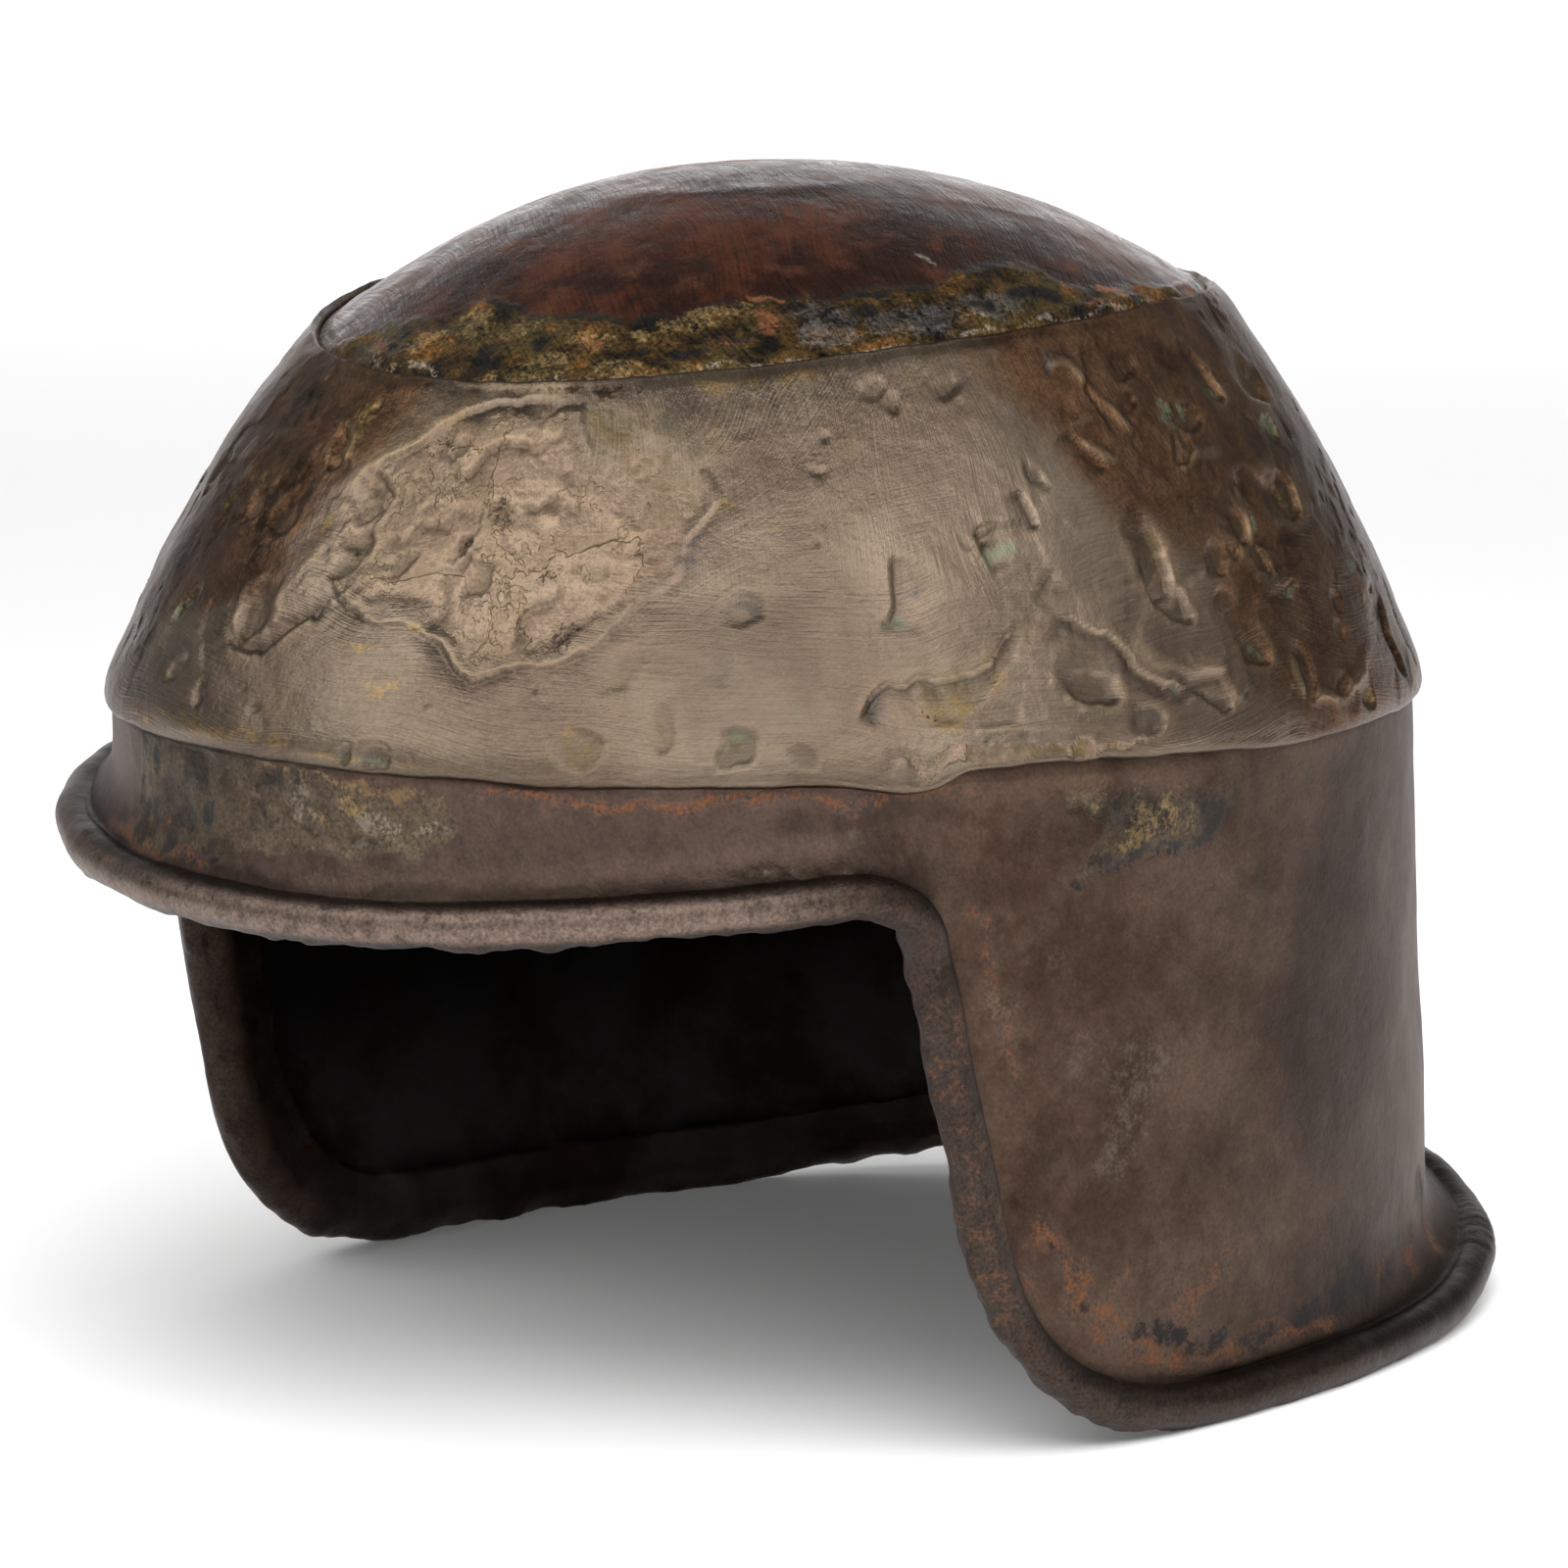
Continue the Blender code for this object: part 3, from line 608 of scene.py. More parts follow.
# The cap's upper edge of old solder, and where the cap shows other tones
CAP_SOLDER_EDGE = [
    (-32, 1.02), (-18.5, 0.9), (-7.5, 0.85), (-1.5, 0.79), (14.5, 0.81), (22.5, 0.83),
    (29.5, 0.85), (41, 0.81), (55.5, 0.8), (62, 0.81), (72, 0.81), (80.5, 0.82), (90.5, 0.78),
    (96.5, 0.8), (98, 0.88), (101, 0.92), (112.5, 0.93), (126.5, 1.02),
]
CAP_STAINS = {
    "gold": tone_marks(
        (-4.5, 0.91, 4, 4, 10, 0.9), (2, 0.87, 6, 3.6, 10, 0.9), (10, 0.86, 5, 3, 0, 0.9),
        (24.5, 0.9, 7, 2.8, 5, 0.8), (31, 0.965, 8, 1.6, 5, 0.7), (40, 0.85, 6, 2.8, 0, 0.9),
        (33.5, 0.88, 4, 2, 0, 0.9), (18.5, 0.95, 7, 2, 5, 0.7), (47, 0.84, 4, 2.6, 0, 0.8),
        (105.5, 0.95, 2.4, 2, 0, 1),
        ([(-20, 0.985), (0, 0.985), (20, 0.985), (50, 0.985)], 0.9, 0.6)),
    "ash": tone_marks(
        (60, 0.91, 9, 6, 10, 0.9), (72, 0.92, 9, 5, 5, 0.9), (84, 0.93, 9, 4.6, 5, 0.9),
        (57, 0.86, 4, 3, 0, 0.7)),
    "rust": tone_marks(
        (50, 0.88, 2.8, 3.6, 30, 1), (52, 0.82, 4, 1.4, 10, 1), (45.5, 0.93, 4.4, 1.8, 0, 0.8),
        (25.5, 0.91, 4, 2, 0, 0.7), (104.5, 0.94, 3.6, 2.6, 0, 1), (99, 0.97, 3, 1.6, 0, 0.9),
        (110, 0.95, 4, 1.8, 0, 0.8), (124, 0.98, 5, 1.4, 0, 0.7), (35.5, 0.98, 4, 0.9, 0, 0.7),
        (-14, 0.96, 8, 2.2, 10, 0.7)),
    "black": tone_marks(
        (2, 0.805, 3.2, 1.2, 5, 1), (-5.5, 0.845, 2.6, 0.9, 0, 0.9), (17, 0.82, 3, 1.5, -10, 1),
        (21.5, 0.835, 3, 1.2, -10, 1), (27.5, 0.84, 3.6, 0.9, 0, 1), (34, 0.85, 2.6, 1.6, 0, 1),
        (41.5, 0.81, 3.4, 0.7, 0, 0.9), (15.5, 0.89, 3, 2.6, 0, 1), (8.5, 0.91, 2.4, 1.8, 0, 0.9),
        (40, 0.94, 4.6, 1.8, 10, 0.9), (45.5, 0.925, 3, 1.4, 10, 0.9),
        (33, 0.93, 1.8, 1.2, 0, 0.9), (56, 0.84, 1.8, 1.6, 0, 0.9), (66.5, 0.87, 3.2, 2.4, 0, 1),
        (68, 0.82, 8, 1.2, 0, 0.9), (73.5, 0.83, 3, 1.2, 0, 1), (82.5, 0.92, 3.2, 1.8, 0, 1),
        (91.5, 0.91, 4.4, 3, 0, 1), (90.5, 0.79, 4, 1, 15, 1), (95, 0.79, 3.2, 1, 10, 1),
        (62.5, 0.9, 1.8, 1.2, 0, 0.8)),
    "pale": tone_marks(
        (79, 0.75, 0.8, 2.2, -20, 0.9), (60, 0.955, 6, 0.7, 12, 0.6), (78, 0.955, 7, 0.7, 8, 0.6),
        ([(-22, 0.995), (10, 0.995), (45, 0.995), (90, 0.995), (118, 0.99)], 0.5, 0.8)),
}

# Raised lines on the cap and the lower body, and the steps in the lower body
CAP_RIDGES = [
    Ridge([(-20, 0.45), (-5, 0.36), (16, 0.32), (53.5, 0.3), (79.5, 0.32), (106, 0.31)], 0.25, 3),
    Ridge([(100, 0.45), (119, 0.66), (121, 0.8)], 0.12, 1.6),
    Ridge([(56, 0.9), (66, 0.93), (78, 0.955), (88, 0.955)], 0.4, 0.9),
]
BODY_RIDGES = [
    Ridge([(68, 111), (68.5, 105), (68, 98)], 0.25, 1.6),
]
BODY_FOLDS = [
    Fold([(47.5, 98), (48.2, 101), (50.5, 103), (52.5, 101), (53.5, 98.5)], 0.5, 2, -1, 0.5),
    Fold([(5.5, 117), (7, 113), (8.5, 108), (9, 104)], 0.3, 2, 1, 0.5),
    Fold([(2, 109), (7, 105.5), (13, 106), (19, 104)], 0.4, 2, -1, 0.5),
]

# The lower body's patches of old solder and its tones, by turn and height
RIGHT_SOLDER = [
    (74, 116), (80, 116), (86, 115), (91, 114), (94, 112), (95, 107), (94.5, 103), (92, 100),
    (89.5, 99), (85, 97), (82, 96), (78, 95.5), (79.5, 99), (81, 104), (78.5, 108), (74, 110),
]
LEFT_SOLDER = [
    (-20.5, 118), (-8.5, 118), (1, 118), (7.5, 117), (14, 114), (20.5, 113), (23, 107),
    (21.5, 104), (14.5, 102.5), (8, 103), (3, 100), (-3, 97), (-12, 97), (-19, 99),
]
BODY_STAINS = {
    "gold": tone_marks(
        (84.5, 101, 5, 2, 15, 0.9), (87, 105.5, 7, 4, 15, 0.85), (81, 109.5, 5, 2.4, 5, 0.6),
        (88.5, 103, 3.6, 3, 20, 0.8), (91.5, 109.5, 3, 2.4, 0, 0.7),
        (3.5, 114.5, 7, 1.6, -10, 0.9), (12, 112, 5, 2, -10, 0.8), (8, 108, 4, 2.4, -20, 0.6),
        ([(-12, 116), (2, 116.5), (13, 114.5), (20, 113.8)], 0.8, 0.9)),
    "pale": tone_marks(
        (5, 109.5, 4.4, 3.4, -20, 0.7), (14.5, 109, 5, 3, -10, 0.8), (19, 107.5, 4, 1.6, 0, 0.7),
        (84.5, 110, 6, 2.4, 5, 0.7), (79, 112, 5, 1.6, 5, 0.5), (100, 112.5, 4, 1, 5, 0.5),
        (50, 100.6, 2.6, 1.4, 10, 0.8)),
    "scuff": tone_marks(
        (84.3, 61, 7, 10, -10, 0.6), (83.5, 52.8, 6, 8, 0, 0.55), (82.5, 47, 5, 4, 0, 0.5),
        (71.8, 77, 3.4, 4, 0, 0.7), (76, 84, 4, 3, 0, 0.4), (79.5, 66, 4, 4, 0, 0.4),
        (8, 99.6, 5, 1.6, 0, 0.5), (58, 106.5, 6, 3, 0, 0.4), (14, 105, 7, 0.7, 4, 0.9),
        (21, 106.5, 3, 0.8, 4, 0.9), (104.5, 97.8, 0.6, 0.6, 0, 1), (113, 94.9, 0.8, 0.7, 0, 1)),
    # Dark tones: small dark marks, broad painted shade on the side towards the back, and a
    # darkening just under the band's edge
    "dark": tone_marks(
        (74.5, 67.6, 2, 3, 0, 0.7), (73, 44.5, 1.8, 3, 0, 0.8), (76.5, 50, 4, 3, 0, 0.5),
        (71, 88.4, 3, 3, 0, 0.5), (60, 104, 8, 4, 0, 0.6), (53, 108, 5, 3, 0, 0.6),
        (98.5, 90, 7, 4, 0, 0.7), (108, 66, 20, 44, 0, 1), (112, 16, 34, 16, 0, 0.75),
        (106, 108, 26, 9, 0, 0.9), (-66, 55, 16, 50, 0, 1), (88, 106, 30, 9, 0, 0.8),
        (60, 109.5, 16, 4, 0, 0.6), (100, 104, 14, 6, 0, 0.6), (74, 106, 5, 5, 0, 0.6),
        (89, 72, 9, 4, 25, 0.4), (92, 45, 8, 6, 20, 0.4), (-13, 105.5, 5, 6, 0, 0.9),
        ([(-14, 98), (-2.5, 95), (7, 95.8), (22.5, 97.2), (36, 99), (47, 101.5)], 1.6, 0.8)),
    "rust": tone_marks(
        (-20, 99, 5, 2.6, 0, 0.7), (-13, 101.4, 3, 3.4, 0, 0.5), (61, 111.5, 6, 1.2, 0, 0.8),
        (67, 112, 5, 1.4, 0, 0.8), (94.5, 111.5, 1.6, 1.8, 0, 1), (95.6, 106.5, 1, 3, 0, 0.8),
        (100.5, 111.5, 4, 1.2, 0, 0.6), (53.5, 100.6, 2.4, 1.2, 0, 1),
        (56, 101.2, 3, 0.9, 5, 0.9), (79.5, 28.5, 3, 5, -20, 0.7), (82, 19, 3.4, 4.6, 0, 0.8),
        (87, 13, 5, 2.6, 0, 0.8), (89, 20, 3, 5, -30, 0.5), (98, 12.5, 6, 2.4, 0, 0.7),
        (117.5, 16.6, 5, 4, 0, 0.7), (125, 15, 5, 3.4, 0, 0.8), (132.5, 15, 4, 5, 0, 0.8),
        ([(-28, 97.5), (-16.5, 97.6), (-9.5, 96.8), (-4, 95.8)], 1.5, 0.8),
        ([(22, 113.4), (27, 113.7), (36, 113.4), (59, 112.8), (70, 112.6)], 1.1, 1),
        ([(67.5, 96), (70.5, 88), (71.5, 75), (73, 60)], 1.3, 0.6),
        ([(64.5, 84), (67, 60), (70, 40), (74, 22)], 2.4, 0.6),
        ([(74, 45), (77, 34), (80, 25), (85, 16), (92, 11.5), (104, 10.5), (114, 12)], 1.9, 0.9),
        ([(88.5, 17), (91, 22.5), (94, 26.7), (96.5, 30)], 0.9, 0.8),
        ([(81.5, 25), (84.5, 29.6), (87.5, 33.5)], 0.8, 0.7)),
    "black": tone_marks(
        (-15.5, 111.5, 2, 4.4, 0, 1), (-2.5, 114.4, 2.2, 1.6, 0, 1), (-5.5, 105.5, 3, 4, 20, 1),
        (-11.5, 98.6, 5, 2, 0, 1), (-5, 96.9, 5, 1.2, 0, 0.9), (1, 104, 2.4, 1.6, 0, 0.7),
        (-19, 106, 1.8, 5, 0, 0.8), (91.5, 103.2, 2.8, 1.6, 20, 1), (94, 106.5, 1.8, 3, 0, 1),
        (82.5, 105.2, 2.2, 1.3, 0, 0.9), (88, 98.8, 5, 1.3, 12, 1), (82.5, 96.4, 4.4, 1.1, 8, 1),
        (79, 95.6, 2.4, 1, 0, 0.9), (36.5, 112.1, 1.4, 1.2, 40, 0.8),
        (85.5, 17.6, 2.8, 2.4, 0, 1), (88.5, 17, 4, 3.2, 0, 1), (92, 13.2, 6, 2.4, 0, 1),
        (97.5, 11.8, 6.4, 2.3, 0, 1), (104.5, 12.5, 6, 3, 0, 1), (109, 13, 5, 4.4, 15, 1),
        (113, 14.5, 5, 5, 15, 1), (118.5, 13.5, 5, 3.6, 15, 0.9), (80.5, 24.5, 1.4, 2, 0, 0.8),
        (76, 35.6, 0.9, 0.9, 0, 1), (85, 16.6, 0.8, 0.8, 0, 1),
        ([(78, 95.5), (84, 97.5), (91, 100.5), (95, 105), (95.5, 111)], 1.3, 0.9)),
}


def random_marks(kind, seed, count, *ranges):
    """Marks whose numbers are drawn from ranges, one range for each of the kind's columns."""
    chance = np.random.default_rng(seed)
    return [kind(*[chance.uniform(*span) for span in ranges]) for _ in range(count)]


def old_dents(seed, count, turns):
    """Random dents of the band, like the charted ones."""
    return random_marks(Dent, seed, count, turns, (0.06, 0.92), (1.6, 5.5), (1.6, 4.8), (-60, 60),
                        (0.5, 1.4), (0.35, 0.75))


def add_old_stains(masks, ground, turns, shares, rows, shown=1.0):
    """Random stains for the side that no picture shows: tone, seed, count, largest and strength."""
    for tone, seed, count, largest, strength in rows:
        marks = random_marks(Stain, seed, count, turns, shares, (1.5, largest),
                             (1.2, largest * 0.8), (-60, 60), (0.4, 1.0))
        masks[tone] = np.maximum(masks[tone], shown * ground.stains(marks) * strength)


# Meshes

def spread_columns(count):
    """Angles round the helmet, closer together on the side that faces the camera."""
    sample = np.linspace(-math.pi, math.pi, 4001)
    near = smooth_step(np.cos(sample - math.radians(FACING)), -0.35, 0.5)
    density = 1 + NEAR_SIDE_CROWDING * near
    total = np.concatenate([[0], np.cumsum((density[1:] + density[:-1]) / 2)])
    return np.interp(np.arange(count) / count * total[-1], total, sample)


def grid_normals(points):
    """Outward unit normals of a section's points, all the way round section and helmet."""
    across = np.roll(points, -1, axis=1) - np.roll(points, 1, axis=1)
    down = np.roll(points, -1, axis=0) - np.roll(points, 1, axis=0)
    return unit(np.cross(across, down))


def make_plate(name, points, sheet, material, masks, ends=()):
    """Make a plate's object from rows of points, their places on the sheet and its masks.

    Ends are the points that close the first and the last row, and whether the faces there are
    turned over. Without ends the last row joins the first.
    """
    rows, columns = points.shape[:2]
    index = np.arange(rows * columns).reshape(rows, columns)
    if not ends:
        index = np.concatenate([index, index[:1]])
    right = np.roll(index, -1, axis=1)
    quads = np.stack([index[:-1], index[1:], right[1:], right[:-1]], axis=-1).reshape(-1, 4)
    verts = points.reshape(-1, 3)
    faces = quads.tolist()
    for row, (end, flip) in zip((0, rows - 1), ends):
        verts = np.concatenate([verts, [end]])
        ring = np.arange(columns) + row * columns
        tip = np.full(columns, len(verts) - 1)
        fan = np.stack([ring, np.roll(ring, -1), tip], axis=-1)
        faces += (fan[:, ::-1] if flip else fan).tolist()
    mesh = bpy.data.meshes.new(name)
    mesh.from_pydata((verts * MM).tolist(), [], faces)
    mesh.validate()
    mesh.shade_smooth()
    mesh.materials.append(material)
    for mask, values in masks.items():
        layer = mesh.attributes.new(mask, "FLOAT", "POINT")
        flat = np.zeros(len(verts), np.float32)
        flat[:values.size] = values.ravel()
        layer.data.foreach_set("value", flat)
    add_sheet_map(mesh, sheet, len(verts))
    piece = bpy.data.objects.new(name, mesh)
    bpy.context.scene.collection.objects.link(piece)
    return piece


def add_sheet_map(mesh, sheet, count):
    """A map of metres round and up the sheet, for marks that run along it."""
    flat = np.zeros((count, 2), np.float32)
    flat[:sheet.shape[0] * sheet.shape[1]] = (sheet * MM).reshape(-1, 2)
    corners = np.zeros(len(mesh.loops), np.int32)
    mesh.loops.foreach_get("vertex_index", corners)
    layer = mesh.uv_layers.new(name="sheet")
    layer.data.foreach_set("uv", flat[corners].ravel())


def frame_shift():
    """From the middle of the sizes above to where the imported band's middle lies, along y."""
    low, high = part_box("middle_band")
    return np.array([0.0, (low[1] + high[1]) / 2 / MM, 0.0])


SHIFT = frame_shift()


def band_section():
    """The band's section: shares up its slope, distances off its bed, and how far it is outside."""
    heights = np.concatenate([[0, 0.25, 0.6, 1.1, 1.7, 2.4, 3.2, 4.0],
                              np.linspace(4.6, BAND_HEIGHT - 2.0, BAND_ROWS - 14)])
    shares = np.concatenate([heights / BAND_HEIGHT, [0.978, 0.986, 0.993, 0.998]])
    round_part = np.clip(1 - shares * BAND_HEIGHT / BAND_EDGE_ROUND, 0, 1)
    distances = 0.35 + 0.8 * np.sqrt(1 - round_part ** 2)
    distances -= 0.15 * smooth_step(shares * BAND_HEIGHT, BAND_EDGE_ROUND, 14)
    distances -= (1 - BAND_TOP_EDGE_SHARE) * smooth_step(shares, 0.96, 1.0)
    outside = smooth_step(shares, 0.0, 0.03) * (1 - smooth_step(shares, 0.97, 0.995))
    inner = np.array([1.0, 1.0 - CAP_LAP / BAND_HEIGHT, 0.7, 0.5, 0.3, BODY_LAP / BAND_HEIGHT, 0.0])
    shares = np.concatenate([shares, inner])
    distances = np.concatenate([distances * BAND_SHEET, np.zeros(len(inner))])
    return shares, distances, np.concatenate([outside, np.zeros(len(inner))])


def make_band(material):
    """The middle band with its dents, folds and corroded patches."""
    angles = spread_columns(BAND_COLUMNS)
    shares, distances, outside = band_section()
    angle, share = np.meshgrid(angles, shares)
    distance = distances[:, None] + 0 * angle
    outside = outside[:, None] + 0 * angle
    points = off_bed(angle, share, distance)
    ground = Ground(np.degrees(angle), share, BAND_SLANT, points)
    turn = ground.turn

    relief = 0.45 * noise(points, 36, 1) + 0.22 * noise(points, 15, 2) + 0.05 * rough(points, 5, 8)
    side_wear = smooth_step(np.abs((turn - SIDE_WEAR_TURN + 180) % 360 - 180), *SIDE_WEAR_FADE)
    front_wear = (smooth_step(np.abs(turn - FRONT_WEAR_TURN), *FRONT_WEAR_FADE)
                  * smooth_step(share, 0.02, 0.15))
    relief += side_wear * (0.13 * rough(points, 12, 5) + 0.14 * islands(points, 11, 61, 0.36, 0.50)
                           - 0.18 * islands(points, 9, 65, 0.46, 0.60))
    relief += front_wear * (0.20 * rough(points, 11, 6)
                            - 0.18 * islands(points, 11, 69, 0.25, 0.45))
    hollow = np.zeros_like(relief)
    crack_and_shadow_line = np.zeros_like(relief)
    small = [mark._replace(half_width=mark.half_width * 0.35, half_height=mark.half_height * 0.35,
                           depth=mark.depth * 0.3)
             for mark in old_dents(22, 46, (-30, 130))]
    for mark in BAND_DENTS + small + old_dents(21, 90, (140, 325)):
        inside = ground.dent(mark)
        relief = relief - DENT_DEPTH * mark.depth * inside
        hollow = np.maximum(hollow, inside * min(mark.depth, 1))
    for fold in BAND_FOLDS:
        below, foot = ground.fold(fold)
        relief = relief - below
        crack_and_shadow_line = np.maximum(crack_and_shadow_line, foot)
    for ridge in BAND_RIDGES:
        relief = relief + 0.6 * ridge.rise * ground.ridge(ridge)

    inside = smooth_step(ground.area(FRONT_PATCH, 1.6), -1.0, 6.0)
    relief = relief - inside * (0.36 * islands(points, 20, 71, 0.0, 0.09, 5)
                                + 0.24 * islands(points, 14, 73, 0.20, 0.29, 5)
                                - 0.50 * noise(points, 16, 74) - 0.04 * rough(points, 3.4, 4, 3))
    pits = ground.stains(BAND_STAINS["pits"])
    relief = relief - pits * 0.30 * islands(points, 3.6, 75, 0.12, 0.42, 3)
    strip = smooth_step(ground.area(EDGE_PATCH, 3.2), -1.6, 3.0)
    relief = relief - strip * (0.14 + 0.3 * islands(points, 6, 79, 0.0, 0.2))

    relief = relief * outside
    normals = grid_normals(points)
    points = points + normals * relief[..., None] + SHIFT
    points[..., 2] += band_edge_wander(ground) + band_top_wander(ground)
    sheet = np.stack([np.radians(turn) * BAND_MAP_RADIUS, share * BAND_SLANT], axis=-1)
    masks = {"hollow": hollow, "crack_and_shadow_line": crack_and_shadow_line, "patina": band_patina(ground),
             "corroded": np.maximum(inside * 0.8, strip), "height_share": share,
             "gilded": smooth_step(np.abs(turn - GILDED_TURN), *GILDED_FADE),
             "stroked": smooth_step(np.abs(turn), *STROKES_FADE),
             "stands_out": above_mean(relief) * outside}
    for tone, marks in BAND_STAINS.items():
        masks[tone] = ground.stains(marks) * outside
    add_old_stains(masks, ground, (140, 325), (0.05, 0.95),
                   [("green", 5, 40, 3, 1), ("gold", 6, 22, 6, 1), ("dark", 7, 16, 12, 1)])
    return make_plate("middle_band_skin", points, sheet, material, masks)


def band_edge_wander(ground):
    """How far the band's lower edge, beaten by hand, lies above or below its line."""
    turn = ground.turn
    kink = 1.9 * smooth_step(turn, 64.5, 68) * smooth_step(turn, 100, 78)
    dip = -1.3 * np.exp(-((turn - 62.5) / 4.0) ** 2)
    wander = kink + dip + 0.5 * noise(ground.points, 17, 51) + 0.25 * noise(ground.points, 5, 52)
    return wander * np.clip(1 - ground.share / 0.14, 0, 1) ** 2


def band_top_wander(ground):
    """Small nibbles in the band's upper edge."""
    nibbles = 0.35 * rough(ground.points, 9, 53, 3)
    return nibbles * smooth_step(ground.share, 0.93, 1.0)


def band_patina(ground):
    """How brown the band is: it was left dark on its sides and back."""
    turn, share = ground.turn, ground.share
    blur = 7 * noise(ground.points, 22, 19)
    left = 1 - 18 * smooth_step(share, 0.44, 0.24)
    right = 98 - 22 * smooth_step(share, 0.25, 0.95)
    return np.maximum(smooth_step(left - turn + blur, -7, 9),
                      smooth_step(turn - right + blur, -9, 12))


def make_cap(material):
    """The skull cap, with a lap that goes down inside the band."""
    angles = spread_columns(CAP_COLUMNS)
    shares = np.linspace(0.02, 1.0, CAP_ROWS) ** 0.75
    angle, share = np.meshgrid(angles, shares)
    dome = cap_dome(angle, share)
    ground = Ground(np.degrees(angle), share, CAP_SLANT, dome)
    turn = ground.turn
    relief = 0.35 * noise(dome, 34, 31) + 0.12 * noise(dome, 13, 32) + 0.05 * rough(dome, 5, 33)
    for ridge in CAP_RIDGES:
        relief = relief + ridge.rise * ground.ridge(ridge)
    edge_turns, edge_shares = zip(*CAP_SOLDER_EDGE)
    edge = np.interp(turn, edge_turns, edge_shares, CAP_SOLDER_ELSEWHERE, CAP_SOLDER_ELSEWHERE)
    solder = smooth_step(share - edge + 0.026 * rough(dome, 10, 34), -0.02, 0.03)
    relief += solder * (0.30 + 0.34 * rough(dome, 7.0, 35))
    ledge = np.exp(-((share - CAP_LEDGE) / CAP_LEDGE_WIDTH) ** 2)
    relief += ledge * (0.25 + 0.2 * noise(dome, 12, 36))
    relief = relief * (1 - smooth_step(share, 0.98, 1.0)) * smooth_step(share, 0.02, 0.1)
    stands_out = above_mean(relief)
    dome = dome + cap_normal(angle, share) * relief[..., None]

    foot = 1 - CAP_LAP / BAND_HEIGHT
    ring = angles[None, :]
    lap = [off_bed(ring, np.full_like(ring, foot), -SEAM_GAP - inward) for inward in (0, CAP_SHEET)]
    under_angle, under_share = np.meshgrid(angles, np.linspace(0.97, 0.06, 14))
    under = cap_dome(under_angle, under_share) - cap_normal(under_angle, under_share) * CAP_SHEET
    points = np.concatenate([dome] + lap + [under])
    extra = len(points) - len(dome)

    def padded(values):
        """The values on the dome, with nothing on the lap and the inner face."""
        return np.concatenate([values, np.zeros((extra,) + values.shape[1:])])

    inside = np.concatenate([np.zeros_like(share), np.ones((extra, CAP_COLUMNS))])
    sheet = padded(np.stack([dome[..., 0], dome[..., 1]], axis=-1))
    masks = {"solder": padded(solder), "inside": inside, "stands_out": padded(stands_out),
             "stroked": np.ones_like(inside)}
    tones = {tone: ground.stains(marks, 1.2) for tone, marks in CAP_STAINS.items()}
    add_old_stains(tones, ground, (140, 325), (0.15, 0.97),
                   [("black", 12, 44, 9, 0.8), ("rust", 13, 18, 6, 1)])
    masks.update((tone, padded(values)) for tone, values in tones.items())
    crown = np.array([0, 0, SEAM_HEIGHT + CAP_RISE]) + SHIFT
    under_crown = crown - np.array([0, 0, CAP_SHEET])
    return make_plate("skull_cap_skin", points + SHIFT, sheet, material, masks,
                      ((crown, False), (under_crown, True)))


# What a ring of the lower body can be: outer wall, crease at the roll, roll, the roll's nibbled
# rim and its top, rough hem, or inside
BODY_KINDS = ("outer", "crease", "roll", "nibbled", "top", "hem", "inside")


